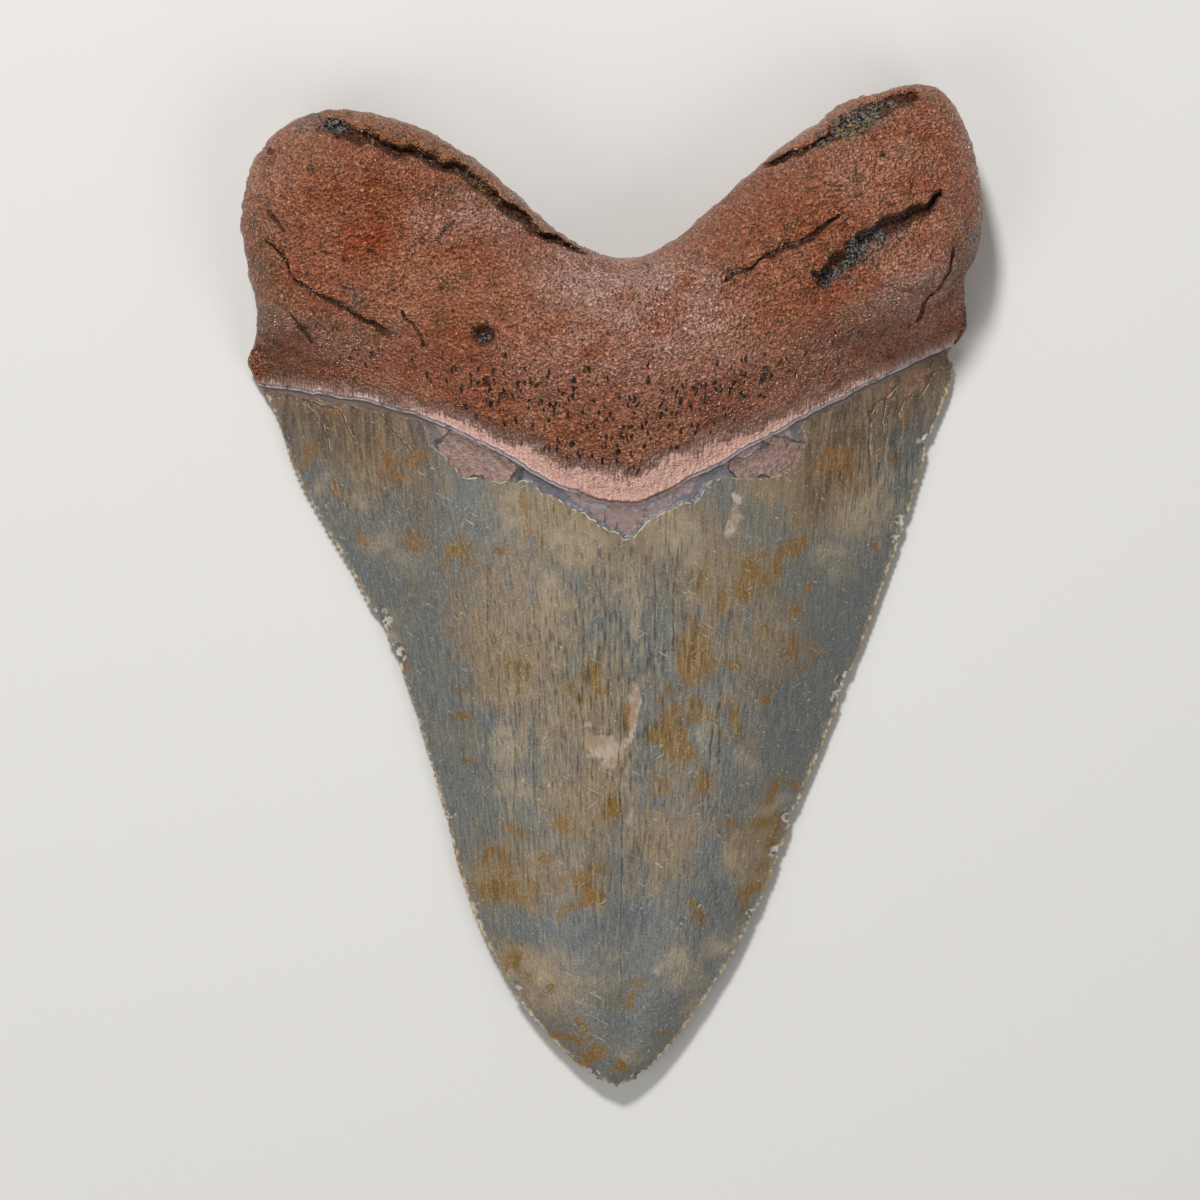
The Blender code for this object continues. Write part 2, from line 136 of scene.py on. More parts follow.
# Grooves and cracks of the root: the path, the half widths along it, and the depth

LEFT_RIM_GROOVE = [
    (-42.3, 67.5), (-40.6, 66.4), (-39.0, 65.8), (-36.2, 64.4), (-34.3, 64.5), (-30.9, 62.9),
    (-28.7, 62.6), (-24.4, 60.6), (-22.3, 60.2), (-17.8, 56.7), (-13.6, 53.8), (-11.0, 51.2), (-6.5, 49.0),
    (-2.3, 47.1),
]
RIGHT_RIM_GROOVE = [
    (21.4, 60.4), (25.7, 62.4), (28.2, 62.7), (30.6, 64.2), (33.8, 65.9), (36.7, 67.6), (39.4, 69.0),
    (42.3, 70.3), (45.3, 70.9),
]
GOUGE = [
    (29.6, 42.0), (31.4, 45.2), (34.0, 47.6), (36.5, 49.6), (39.4, 51.6), (42.3, 53.0), (44.6, 54.2),
    (46.4, 55.4), (47.8, 57.6),
]
LEFT_CRACK = [
    (-50.6, 50.0), (-48.3, 49.0), (-46.4, 46.0), (-43.5, 42.8), (-39.0, 40.4), (-35.1, 38.2), (-33.8, 37.8),
    (-30.9, 35.8),
]
RIGHT_CRACK = [
    (15.6, 43.1), (18.6, 45.0), (20.6, 45.8), (21.6, 47.0), (24.8, 48.7), (28.3, 49.7), (30.3, 51.2),
    (33.7, 53.7),
]
SIDE_CRACK = [
    (49.4, 49.2), (48.9, 47.0), (47.3, 43.8), (46.9, 42.5), (45.7, 41.3), (45.2, 39.5), (44.2, 38.1),
]
GROOVES = [
    (LEFT_RIM_GROOVE, (1.3, 1.2, 1.0, 0.9, 0.7, 0.4), 2.4),
    (RIGHT_RIM_GROOVE, (0.4, 0.5, 1.2, 1.7, 1.3, 0.6), 1.5),
    (GOUGE, (0.5, 1.2, 1.5, 1.3, 0.7, 0.35), 2.1),
    (LEFT_CRACK, (0.15, 0.3, 0.4, 0.4, 0.3), 0.8),
    (RIGHT_CRACK, (0.3, 0.45, 0.4, 0.2), 0.7),
    (SIDE_CRACK, (0.2, 0.3, 0.35, 0.2), 0.55),
    ([(-46.4, 39.9), (-45.3, 37.8), (-43.8, 36.5), (-43.2, 35.1)], (0.2, 0.3, 0.2), 0.35),
    ([(-30.1, 39.7), (-29.3, 38.3), (-28.0, 37.0), (-27.3, 35.7), (-27.1, 34.2)], (0.3, 0.35, 0.25), 0.45),
    ([(-25.5, 49.5), (-24.0, 51.0), (-22.3, 52.6)], (0.2, 0.25, 0.2), 0.3),
    ([(-49.3, 54.3), (-48.2, 52.3), (-46.9, 50.8)], (0.2, 0.2, 0.2), 0.25),
    ([(30.4, 57.8), (31.8, 57.4), (33.2, 57.6)], (0.25, 0.25, 0.2), 0.3),
]

# Holes of the root: x, y, half width, half height, depth
HOLES = [
    (-18.1, 36.0, 1.75, 1.45, 1.9), (29.1, 44.6, 0.55, 0.6, 0.8), (39.0, 62.0, 0.45, 0.4, 0.5),
    (-34.4, 48.3, 0.8, 0.35, 0.5), (-41.0, 47.9, 0.35, 0.4, 0.4), (-38.1, 47.0, 0.35, 0.35, 0.35),
    (-27.1, 49.2, 0.3, 0.45, 0.4), (-49.1, 62.9, 0.4, 0.5, 0.5), (-32.6, 59.3, 0.35, 0.3, 0.35),
    (-31.2, 42.6, 0.5, 0.3, 0.4), (-18.0, 29.3, 0.45, 0.75, 0.6), (-15.5, 27.4, 0.8, 0.5, 0.6),
    (-20.7, 26.0, 0.6, 0.75, 0.5), (-22.6, 39.5, 0.25, 0.45, 0.4), (-34.5, 33.4, 0.6, 0.3, 0.4),
]

# Colour marks of the enamel: x, y, half width, half height, strength, and the degrees of those that tilt

OCHRE_MARKS = [
    (-43.7, 19.5, 2, 0.8, 0.9, 35), (-39.3, 13.5, 0.7, 1, 0.8), (-35.6, 7.8, 0.7, 0.5, 0.9),
    (-31.2, 17.5, 0.8, 1.3, 1, 30), (-27.5, 18.5, 1.1, 0.6, 1, -20), (-33.4, 21.4, 1.1, 0.9, 0.7),
    (-28, 7.4, 1.7, 1.5, 0.6), (-16, 5.5, 1.1, 0.8, 0.75), (-10.3, 5.5, 0.6, 0.7, 0.8),
    (-21.9, 4.5, 2, 1.7, 0.55), (-12.2, 10.3, 0.6, 2.4, 0.6), (-41.1, 26.3, 2.7, 0.7, 0.7, -25),
    (33.3, 18.7, 2, 1.7, 0.9), (32.7, 16.7, 3.2, 1.2, 0.8), (35.7, 14.6, 1.4, 1.2, 0.7),
    (41.4, 18, 0.6, 1.2, 0.9), (39.1, 20.5, 0.9, 0.7, 0.8), (33, 11.6, 0.5, 0.4, 0.9),
    (26.3, 5.7, 1.3, 1, 1), (23.6, 3.5, 1, 2, 1.2), (20.2, 0.8, 1.4, 1.8, 0.9), (19.9, 4.2, 1.4, 0.9, 0.7),
    (12.8, 1.2, 1, 1.5, 0.65), (15.8, -1.5, 1.1, 1.4, 0.65), (28.3, 0, 0.5, 0.5, 0.9),
    (38.6, 6.2, 0.6, 0.5, 0.8, -40), (27.6, -2.5, 0.7, 0.7, 0.8), (43.4, 25.1, 0.7, 1.4, 0.7),
    (-29.7, -11.9, 0.7, 0.5, 1), (-21.4, -14.9, 0.9, 0.5, 0.9), (-22.9, -19, 1.7, 0.7, 0.7, 10),
    (-16.8, -18, 0.4, 0.5, 0.9), (-13.4, -11, 1.6, 1.6, 0.85), (-12.4, -13.6, 1, 1.4, 1, -30),
    (-2.7, -11.7, 1.2, 1.2, 0.95), (-1.4, -14.1, 1.2, 0.9, 0.85), (-5, -15.6, 0.8, 0.4, 0.9, 35),
    (2.2, -18.6, 0.7, 1.4, 1.2, -8), (-20.5, -24.9, 0.4, 0.5, 0.9), (-20, -33.7, 0.8, 0.3, 0.85),
    (-13.7, -35.2, 1, 0.8, 0.8), (-7.1, -35.1, 1.4, 1.4, 0.75), (-4.9, -32, 0.6, 0.6, 0.8),
    (-0.2, -31.2, 0.8, 1.6, 0.8), (-18.1, -39.3, 1.9, 0.8, 0.8, 15), (-10.7, -38.8, 0.8, 0.9, 0.8),
    (12.5, -9.2, 2.5, 2.9, 1), (11.1, -10.9, 1.5, 1.6, 1.1), (8, -14.4, 1.3, 1.2, 0.8),
    (9.2, -21.5, 2, 3, 1.1), (11.7, -17, 1.6, 1.4, 0.9), (18.5, -10.7, 0.9, 0.6, 0.9),
    (21.5, -6.5, 0.8, 0.9, 0.9), (26.3, -8.9, 1, 1.2, 0.65), (27.7, -2.6, 0.6, 0.5, 0.8),
    (29.2, -11.1, 1.6, 0.9, 0.6), (22.2, -15.1, 1, 0.8, 0.85), (12.7, -27.9, 0.9, 1.2, 1),
    (7.2, -28.3, 1.3, 1.6, 0.6), (16.9, -18.9, 1, 2.9, 0.65), (22.5, -30.1, 1.6, 0.8, 0.85, 35),
    (26.1, -29.3, 0.5, 0.3, 0.8, 30), (24.1, -33.8, 0.7, 1.4, 1), (23.7, -37.2, 0.7, 0.8, 0.9),
    (16.9, -34.7, 0.8, 0.4, 0.7), (21.1, -34.6, 1.8, 1.6, 0.5), (-17.2, -44.2, 1.7, 1.1, 1),
    (-13.9, -44.2, 1.3, 1.1, 0.95), (-15.6, -41.2, 2.2, 1.6, 0.8), (-10.5, -44, 1.9, 1.9, 0.7),
    (-4.2, -43.4, 1.9, 2.2, 0.9), (-4.8, -46.1, 1.3, 1, 0.8), (-6.7, -47.4, 0.7, 0.5, 0.9, 40),
    (18.7, -44, 0.5, 1, 0.8, -10), (20.6, -44.4, 0.8, 3.2, 0.65, -25), (12.4, -47.2, 1.3, 0.6, 0.6, -30),
    (-14, -55.5, 1.7, 1.1, 0.7, -45), (3.8, -57.7, 1.3, 1.3, 0.75), (2.2, -60.7, 0.9, 0.8, 1),
    (-8.9, -59.3, 0.6, 0.8, 0.8), (-6.4, -65.8, 2, 0.7, 0.85), (-4, -64.2, 0.8, 1.7, 0.8, 20),
    (-3.4, -68.9, 1.3, 1, 1.1), (1.1, -70.3, 0.5, 0.9, 0.9, 15), (8.7, -65, 0.9, 0.4, 0.8),
]
SLATE_MARKS = [
    (-46.5, 23.1, 1.8, 3.2, 1, 40), (-43.6, 15.4, 2.3, 3.6, 1, 25), (-39.8, 18, 2, 2, 0.5),
    (-35.4, 3.5, 3.2, 3.2, 1.1), (-32.4, -0.2, 2.5, 1.9, 1), (-25.6, 3.9, 2.2, 2.2, 0.7),
    (-17.9, 9.2, 3.2, 3.2, 0.65), (-30, 9.9, 2.7, 2, 0.4), (-1, 3.5, 1.3, 3, 0.6),
    (42.6, 21.2, 2.3, 6.4, 1, -25), (36.7, 0.8, 3.4, 5.1, 1.1, -50), (41.4, 6.5, 1.5, 2.4, 0.8, -20),
    (33.3, -1.9, 3.4, 2, 0.9), (48.2, 29.8, 1.5, 2, 0.6), (23.2, 7.6, 1.2, 1.4, 0.5),
    (-26.3, -8.4, 3.1, 3.1, 0.7), (-27.6, -13.1, 2.2, 2, 0.8), (-22.3, -15.5, 3.9, 3.9, 0.75),
    (-18.4, -18.9, 1.7, 2, 1), (-18.7, -27, 1.7, 1.7, 0.8), (-24.4, -28, 3.1, 4.2, 0.6),
    (3.6, -9.7, 0.9, 5.8, 0.7), (4, -23.3, 1.3, 7.9, 0.8), (-6.1, -24.1, 2.1, 3.4, 0.6),
    (-20.8, -34.6, 3.4, 2.4, 0.5), (26.1, -16.5, 5, 4.5, 1), (27.9, -20.7, 4.2, 3.9, 1),
    (23.2, -18.6, 2.6, 2.6, 0.8), (33.2, -8.4, 2.9, 3.9, 0.9), (16.1, -28.8, 2.6, 3.9, 0.6),
    (5.1, -22.5, 1.6, 3.4, 0.75), (15.1, -38.5, 1.4, 1.6, 0.9), (7.5, -32, 1.6, 1.6, 0.7),
    (18.7, -17.6, 1.6, 3.7, 0.55), (-9.3, -49.1, 4.1, 2, 1.05), (-4.2, -49.8, 4.8, 2.2, 0.9),
    (3.5, -49, 4.1, 2.4, 0.95), (12.4, -49.3, 3.7, 1.9, 1.05), (15.9, -44.8, 2.7, 2, 1.05),
    (14.3, -41.2, 1.7, 3.5, 0.9), (-14.3, -47.9, 2, 1.3, 0.8), (6.6, -57.7, 2.3, 3.8, 0.9),
    (8.6, -60.6, 1.7, 2, 1), (-2.9, -60.9, 2.2, 1.3, 0.8), (0.3, -62.5, 3.5, 1.3, 0.75),
    (3.5, -64.1, 4.8, 2.9, 0.6), (2.2, -40.9, 1.7, 3.5, 0.6), (-21.3, -40.9, 2.5, 3.8, 0.5),
]
# The first pale mark, near the left cutting edge, is a painted highlight; the others are pale patches of the
# enamel
PALE_MARKS = [
    (-42, 15.3, 0.9, 2.4, 1, -35), (-36.4, 13.3, 2.1, 1.4, 0.7), (-33.7, 6.9, 2, 1.8, 0.8),
    (-30, 4.5, 2.4, 2.1, 0.6), (-7.8, 12.9, 2.9, 1.4, 0.6), (-2.7, 6.2, 3.7, 3.4, 0.6),
    (-44.8, 25.1, 2, 1.7, 0.6, -30), (35.7, 10.6, 4, 3.7, 1.1), (38.4, 14.3, 2.1, 2.1, 0.8),
    (32, 4.5, 2.1, 2.4, 0.8), (7.1, 9.2, 2.4, 2.1, 0.8), (2, 0.8, 1.7, 5.1, 0.6),
    (46.8, 28.4, 0.7, 1.3, 0.7, -20), (-15.3, -24.1, 1.8, 3.9, 1.1), (-13.7, -30.4, 2.4, 2.2, 0.8),
    (-32, -6.3, 1.1, 2.1, 0.8), (14, -20.7, 1.2, 5, 0.7), (16.1, -14.4, 1.2, 2.4, 0.7),
    (21.9, -31.4, 2.9, 1.6, 0.7), (19.8, -24.4, 1.6, 2.1, 0.8), (25, -30.9, 1.8, 0.8, 0.8),
    (-11.2, -56.1, 4.1, 2.7, 1.1), (-7.3, -59.9, 2, 1.3, 0.7), (-1, -55.5, 2, 2, 0.6),
    (10.1, -55.8, 2.7, 3.2, 1.1), (15.9, -51.7, 2.5, 1.7, 1, 30), (18.4, -40.5, 1.7, 3.2, 0.7),
    (2.2, -68.5, 2.9, 1.9, 0.6), (12.4, -62.5, 1.9, 3.2, 0.6, -40), (2.9, -1, 0.5, 9, 1),
    (2.5, -31, 0.5, 7, 0.9), (-13, 11, 3, 2.6, 0.9, -20), (-5, 6.5, 3.4, 3, 1, -30),
    (9.5, 7.5, 3, 2.6, 0.9, 30), (-9, -1, 2.4, 5, 0.7),
]
WARM_MARKS = [
    (-35, 21, 9, 7, 0.8, -20), (-7, 8, 9, 5, 0.9, -25), (-14, -8, 9, 12, 0.8), (-4, -24, 6, 14, 0.9),
    (30, 18, 9, 7, 1), (15, 2, 8, 8, 0.7), (22, -8, 6, 7, 0.6), (8, -36, 6, 9, 0.7), (-14, -42, 7, 5, 0.8),
    (-10, -57, 7, 4, 0.7, -30), (8, 8, 6, 4, 0.8, 30), (22, -38, 5, 6, 0.6), (40, 28, 8, 4, 0.8, 30),
]
# Where the bone under the enamel shows, and the two bare ovals of the bourlette
FLAKE_SCARS = [
    (-1.3, -22, 2.6, 1.4, 1), (2.9, -19.2, 0.6, 4.2, 1.1, -8), (0, -24.2, 1.4, 1.6, 0.9),
    (17.6, 12, 0.9, 1.4, 0.8, 15), (17.9, 9.4, 1.1, 1.2, 0.85, -20),
]
BARE_OVALS = [
    (-19.6, 18, 5.7, 2.5, 1, -22), (22.9, 18.4, 4.3, 2.2, 1, 22),
]
# Where the skin under the enamel shows red, beside the corners of the crown
WORN_MARKS = [
    (45.6, 31, 2.4, 0.9, 0.9, 38), (43.6, 29.2, 1, 0.7, 0.9, 38), (39.6, 28, 1.3, 0.6, 0.9, 35),
    (37.7, 25.8, 0.35, 1.8, 0.9, 8), (-47.2, 27.9, 1.2, 0.5, 0.9, -8), (-43.2, 26.4, 1, 0.4, 0.8, -30),
]
# Grey grit and yellow grains in the grooves of the root
# The grey on the gouge's lower bank and on the big hole's lower rim is partly grit, partly a painted
# highlight where they face the light
GRIT_AND_HIGHLIGHT_MARKS = [
    (35.4, 66.9, 4.8, 1.7, 1.2, 27), (-41.6, 66.6, 2.6, 1.4, 1.2, -30), (36.6, 48.2, 5.4, 1.1, 1.2, 38),
    (32.2, 44.4, 2.2, 1.4, 1.2, 45), (-37, 41.6, 1, 1, 0.8), (-36.9, 37.8, 0.9, 0.7, 0.8),
    (-31.4, 36, 0.9, 0.6, 0.8), (-38.9, 35, 1, 0.6, 0.7), (3.9, 46.5, 0.8, 0.5, 0.8),
    (5.5, 47.2, 0.8, 0.5, 0.8), (51.4, 50.8, 1.4, 1.2, 0.7), (-20, 59, 3, 0.5, 0.6, -30),
    (-18, 35, 1.3, 0.6, 1.3),
]
GOLD_MARKS = [
    (36.4, 66.8, 4.4, 1.2, 1.2, 27), (24.8, 48.4, 1, 0.6, 1.2, 30), (28.2, 49.2, 0.9, 0.5, 1),
    (-46, 63, 0.7, 0.7, 1.2), (47, 42.4, 0.5, 0.8, 1), (8.6, 49, 2, 0.5, 0.8, 20),
    (-18, 57.6, 2.6, 0.6, 0.9, -30), (-30, 64.2, 7, 0.6, 0.7, -12),
]

# How fast a mark fades outwards, how ragged its edge is, and the fields that marks make
MARK_FALL = 0.6
RAGGED, SMOOTH = 0.28, 0.1
MARK_FIELDS = {
    "slate": (SLATE_MARKS,), "ochre": (OCHRE_MARKS,), "pale": (PALE_MARKS,), "warm": (WARM_MARKS, SMOOTH),
    "scar": (FLAKE_SCARS,), "worn": (WORN_MARKS,), "bare": (BARE_OVALS, SMOOTH),
    "grit_and_highlight": (GRIT_AND_HIGHLIGHT_MARKS,), "gold": (GOLD_MARKS,),
}

# The flanks of the crown and the two sides of the bourlette: middle, start, width of the change
FLANKS, SIDES = (1.0, 24.0, 5.0), (2.5, 5.0, 6.0)

# Where the root and the crown have a look of their own, as places: strength, centre, spread
PORES_BY_NECK = [(1.0, (2, 22), (27, 24))]
OTHER_PORES = [(0.4, (2, 28), (34, 10)), (0.4, (42, 37), (12, 5)), (0.3, (-38, 31), (14, 4))]
# Painted highlight: places where a pinkish highlight is painted on the root
PAINTED_SHEEN = [
    (1.0, (-4, 45), (7, 5)), (1.0, (10, 42), (8, 6)), (0.6, (2, 33), (26, 9)), (0.5, (36, 60), (12, 7)),
    (0.75, (-22, 53), (10, 5)), (0.8, (45, 42), (9, 8)),
]
RED = [
    (1.0, (-35, 49.5), (6, 4)), (0.7, (-26, 33), (12, 5)), (0.5, (43, 57), (8, 5)),
    (0.6, (-29, 64), (14, 2.5)),
]
GILT = [(1.0, (-51, 44), (4, 12)), (1.0, (52, 48), (3, 8)), (1.0, (-48, 29.5), (6, 2))]
PINK = [(4.0, (3, 13), (24, 24))]
STRIATED = [(1.0, (-1, -14), (22, 38)), (1.0, (38, 17), (9, 11)), (0.5, (-38, 13), (9, 12))]

# Stains of the labial face, by chance: the usual strength, the size and the seed
CHANCE_STAINS = {
    "slate": (0.3, 12.0, 82), "ochre": (-0.22, 6.0, 83), "pale": (-0.15, 9.0, 84), "warm": (0.3, 16.0, 87),
}

# Cracks of the enamel with a cream lip, and the dark beaded seams down its middle

FLANK_CRACKS = [
    [(-49.4, 28.1), (-47.4, 28.1), (-45.1, 26.8), (-42.9, 24.7), (-41.6, 22.2), (-41.1, 20.3)],
    [(-43.5, 27.0), (-40.1, 26.0), (-38.6, 24.2), (-37.6, 21.6)],
    [(-36.8, 26.0), (-33.2, 25.0), (-31.0, 22.0), (-29.4, 20.6), (-28.5, 18.7)],
    [(47.6, 31.6), (45.6, 28.8), (43.2, 28.0), (42.4, 26.4), (42.2, 25.0)],
    [(41.6, 29.8), (39.9, 27.6), (38.3, 26.3), (37.5, 24.6), (37.3, 19.3)],
    [(40.0, 27.4), (39.6, 25.0), (39.5, 22.6)],
]
SEAMS = [
    [(1.3, -1.8), (1.5, -12.0), (1.2, -25.6), (1.6, -38.0), (1.4, -57.4)],
    [(6.2, 3.1), (6.4, -4.0), (6.2, -12.2)], [(-4.0, -3.4), (-4.2, -14.0), (-4.0, -23.2)],
    [(-11.2, -16.2), (-11.3, -24.0), (-11.1, -30.6)],
    [(17.2, -3.2), (16.4, -12.2), (14.8, -20.2), (14.2, -25.4), (14.0, -30.6)],
    [(15.9, -14.2), (15.6, -20.0), (15.6, -25.4)], [(-14.0, -20.0), (-14.1, -33.0)],
    [(9.6, 5.6), (8.9, -2.0), (9.0, -9.0)], [(-17.8, 3.0), (-18.0, -9.0)],
]

# Facets of the finer mesh, and how far from each kind of line it has rows of points, to the right

ROOT_FACET, CROWN_FACET, LABIAL_FACET = 0.42, 0.62, 1.15
RIM_ROWS, ENAMEL_ROWS = (-1.2, -0.6, -0.25, 0, 0.3, 0.7, 1.2), (-0.3, -0.08, 0.08, 0.3)
CRACK_ROWS, NECK_ROWS = (-0.45, -0.2, 0, 0.2, 0.45), (-1.2, -0.6, 0, 0.6)
GROOVE_ROWS = (-1.1, -0.55, 0, 0.55, 1.1)  # in half widths of the groove
EDGE_ROWS = ((0.62, 1), (0.95, 2), (1.4, 2))  # how far in, and how many points of the edge go to one here
OUTLINE_GAP, ROW_GAP = 0.16, 0.12
LATTICE_GAP, LATTICE_SHAKE = 0.6, 0.14  # in facets
NECK_MARGIN = 0.6
SHARP_DEGREES = 65
CURVE_STEPS = 24
SEED = 11

# Framing: the photograph is 1200 pixels square, and shows 0.1467 mm in each of them

FRAME_WIDTH = 1200 * 0.1467
FRAME_CENTRE = (-1.7, -1.8)
CAMERA_DISTANCE = 700.0
SENSOR = 36.0

# The floor in metres, and the lights in metres and watts: place, size, power

FLOOR_HALF_SIZE = 3.0
LIGHTS = {
    "key_light": ((-0.15, 0.5, 0.64), 0.14, 5.6),
    "right_fill_light": ((0.45, -0.4, 0.6), 0.5, 1.6),
    "left_fill_light": ((-0.5, -0.4, 0.55), 0.5, 1.6),
}
SKY_COLOUR, SKY_STRENGTH = (1.0, 0.99, 0.97, 1.0), 0.2


# Curves in plan


def along(points, spacing):
    """Evenly spaced points on a smooth curve through the given ones, with both ends."""
    given = np.array(points, float)
    given = np.vstack([2 * given[0] - given[1], given, 2 * given[-1] - given[-2]])
    t = np.linspace(0, 1, CURVE_STEPS, endpoint=False)[:, None]
    spans = [
        (2 * b + (c - a) * t + (2 * a - 5 * b + 4 * c - d) * t**2 + (3 * b - a - 3 * c + d) * t**3) / 2
        for a, b, c, d in zip(given, given[1:], given[2:], given[3:])
    ]
    curve = np.vstack([*spans, given[-2:-1]])
    run = np.append(0, np.cumsum(np.linalg.norm(np.diff(curve, axis=0), axis=1)))
    at = np.linspace(0, run[-1], max(2, round(run[-1] / spacing) + 1))
    return np.stack([np.interp(at, run, curve[:, k]) for k in (0, 1)], axis=1)


def right_of(line):
    """The unit vector to the right of each point's direction of travel."""
    way = np.gradient(line, axis=0)
    way /= np.linalg.norm(way, axis=1, keepdims=True)
    return np.stack([way[:, 1], -way[:, 0]], axis=1)


def path_distance(points, line, block=3000):
    """For each point: its distance from the line, negative on the left, and how far along the line it is."""
    starts, ways = line[:-1], np.diff(line, axis=0)
    lengths = np.linalg.norm(ways, axis=1)
    run = np.append(0, np.cumsum(lengths))
    off, done = np.empty(len(points)), np.empty(len(points))
    for first in range(0, len(points), block):
        some = slice(first, first + block)
        away = points[some, None] - starts
        share = np.clip((away * ways).sum(2) / lengths**2, 0, 1)
        gap = away - share[..., None] * ways
        nearest = (gap**2).sum(axis=2).argmin(axis=1)
        row = np.arange(len(nearest))
        gap, way = gap[row, nearest], ways[nearest]
        side = np.sign(gap[:, 0] * way[:, 1] - gap[:, 1] * way[:, 0])
        off[some] = side * np.linalg.norm(gap, axis=1)
        done[some] = (run[nearest] + share[row, nearest] * lengths[nearest]) / run[-1]
    return off, done


def inside(points, loop):
    """Whether each point lies inside the closed loop."""
    within = np.zeros(len(points), bool)
    x, y = points.T
    for (x0, y0), (x1, y1) in zip(loop, np.roll(loop, -1, axis=0)):
        if y0 != y1:
            within ^= ((y0 > y) != (y1 > y)) & (x < x0 + (y - y0) * (x1 - x0) / (y1 - y0))
    return within


def eased(value, end):
    """0 below 0, 1 above end, and a smooth step between them."""
    t = np.clip(value / end, 0, 1)
    return t * t * (3 - 2 * t)


def hump(points, centre, spread):
    """1 at the centre, falling off smoothly over the two spreads."""
    away = (points - np.array(centre)) / np.array(spread)
    return np.exp(-(away**2).sum(axis=1))


def humps(points, places):
    """The sum of the places: each has a height, a centre and a spread."""
    return sum(height * hump(points, centre, spread) for height, centre, spread in places)


# Noise

SEED_STEP, OCTAVE_STEP = 7.31, 3.7
AXIS_PRIMES = np.array([73856093, 19349663, 83492791])
NOISE_GAIN = 1.6


def mixed(keys):
    """Whole numbers, shuffled into others of up to 31 bits."""
    for shift, factor in ((13, 1274126177), (16, 668265263)):
        keys = ((keys ^ (keys >> shift)) * factor) & 0x7FFFFFFF
    return keys


def noise(points, size, seed=0, octaves=1):
    """Smooth noise of about -1 to 1, with blobs of this size, in as many dimensions as the points have."""
    total, weight = np.zeros(len(points)), 1.0
    for octave in range(octaves):
        at = points / size + (SEED + seed) * SEED_STEP + octave * OCTAVE_STEP
        low = np.floor(at).astype(np.int64)
        part = at - low
        part = part**3 * (part * (6 * part - 15) + 10)
        for corner in np.ndindex(*(2,) * points.shape[1]):
            key = mixed(((low + corner) * AXIS_PRIMES[: points.shape[1]]).sum(axis=1))
            share = np.prod(np.where(np.array(corner), part, 1 - part), axis=1)
            total += weight * share * (2 * (key & 0xFFFF) / 0xFFFF - 1)
        weight, size = weight / 2, size / 2
    return NOISE_GAIN * total


def layered(points, layers):
    """The sum of layers of noise: each has a height, a size and a seed."""
    return sum(height * noise(points, size, seed) for height, size, seed in layers)


def wandering(path, spacing, amount, seed):
    """The smooth path with small side steps, as a crack or a broken edge has."""
    line = along(path, spacing)
    step = layered(line, [(1.0, 2.2, seed), (0.5, 0.8, seed + 1)])
    return line + right_of(line) * (amount * step)[:, None]


# The outline


def chip_depth(side, y):
    """How far the chips of one side move its cutting edge inwards at height y."""
    depth = np.zeros_like(y)
    for chip_side, middle, length, deepest in CHIPS:
        if chip_side == side:
            depth += deepest * np.clip(1 - (2 * (y - middle) / length) ** 2, 0, 1)
    return depth


def cutting_edge(points, side):
    """A cutting edge with serrations: rounded crowns with sharp notches between them, no two alike."""
    line = along(points, SERRATION_PITCH / SERRATION_POINTS)
    count = np.arange(len(line)) / SERRATION_POINTS
    arch = np.abs(np.cos(np.pi * count))
    size = SERRATION_DEPTH * (1 + layered(line, SERRATION_ROUGHNESS))
    wear = 0.16 * noise(line, 2.6, 5)
    depth = chip_depth(side, line[:, 1]) + size * (1 - arch) + np.clip(wear, 0, 1)
    depth[[0, -1]] = 0
    return line + right_of(line) * depth[:, None]


def root_outline():
    line = along(ROOT_OUTLINE, 0.55)
    step = layered(line, OUTLINE_ROUGHNESS) - OUTLINE_SHRINK
    step[[0, -1]] = 0
    return line - right_of(line) * step[:, None]


SMOOTH_RIGHT, SMOOTH_LEFT = along(RIGHT_CUTTING_EDGE, 1.0), along(LEFT_CUTTING_EDGE, 1.0)
SMOOTH_LOOP = np.vstack([along(ROOT_OUTLINE, 1.0)[:-1], SMOOTH_RIGHT[:-1], SMOOTH_LEFT])
OUTLINE = np.vstack([
    root_outline()[:-1],
    cutting_edge(RIGHT_CUTTING_EDGE, "right")[:-1],
    cutting_edge(LEFT_CUTTING_EDGE, "left")[:-1],
])
RIM_LINE = wandering(ROOT_RIM, 0.5, 0.12, 21)
ENAMEL_LINE = wandering(ENAMEL_TOP, 0.4, 0.3, 23)
GROOVE_LINES = [wandering(path, 0.4, 0.22, 30 + i) for i, (path, _, _) in enumerate(GROOVES)]
CRACK_LINES = [wandering(path, 0.5, 0.25, 60 + i) for i, path in enumerate(FLANK_CRACKS)]
SEAM_LINES = [wandering(path, 0.5, 0.1, 80 + i) for i, path in enumerate(SEAMS)]


def inset_of(points):
    return np.abs(path_distance(points, SMOOTH_LOOP)[0])


# Heights


def neck_distance(points, neck):
    """How far above the neck line each point is, towards the root."""
    line = along(neck, 1.0)
    return points[:, 1] - np.interp(points[:, 0], line[:, 0], line[:, 1])


def root_share(points, neck):
    """0 on the crown, 1 on the root, and between them where the root rises out of the crown."""
    middle, corner = NECK_BLEND
    outwards = np.clip(np.abs(points[:, 0]) / RIGHT_CORNER[0], 0, 1)
    return eased(neck_distance(points, neck), middle + (corner - middle) * outwards)


def rounded(inset, radius):
    """The share of the full height at this inset from the outline, for an edge as round as an ellipse."""
    t = 1 - np.clip(inset / radius, 0, 1)
    return (1 - t**EDGE_ROUNDNESS) ** (1 / EDGE_ROUNDNESS)


def cutting_edge_level(points):
    return CUTTING_EDGE_LEVEL + TIP_LIFT * eased(TIP_LIFT_FROM - points[:, 1], TIP_LIFT_FROM - TIP[1])


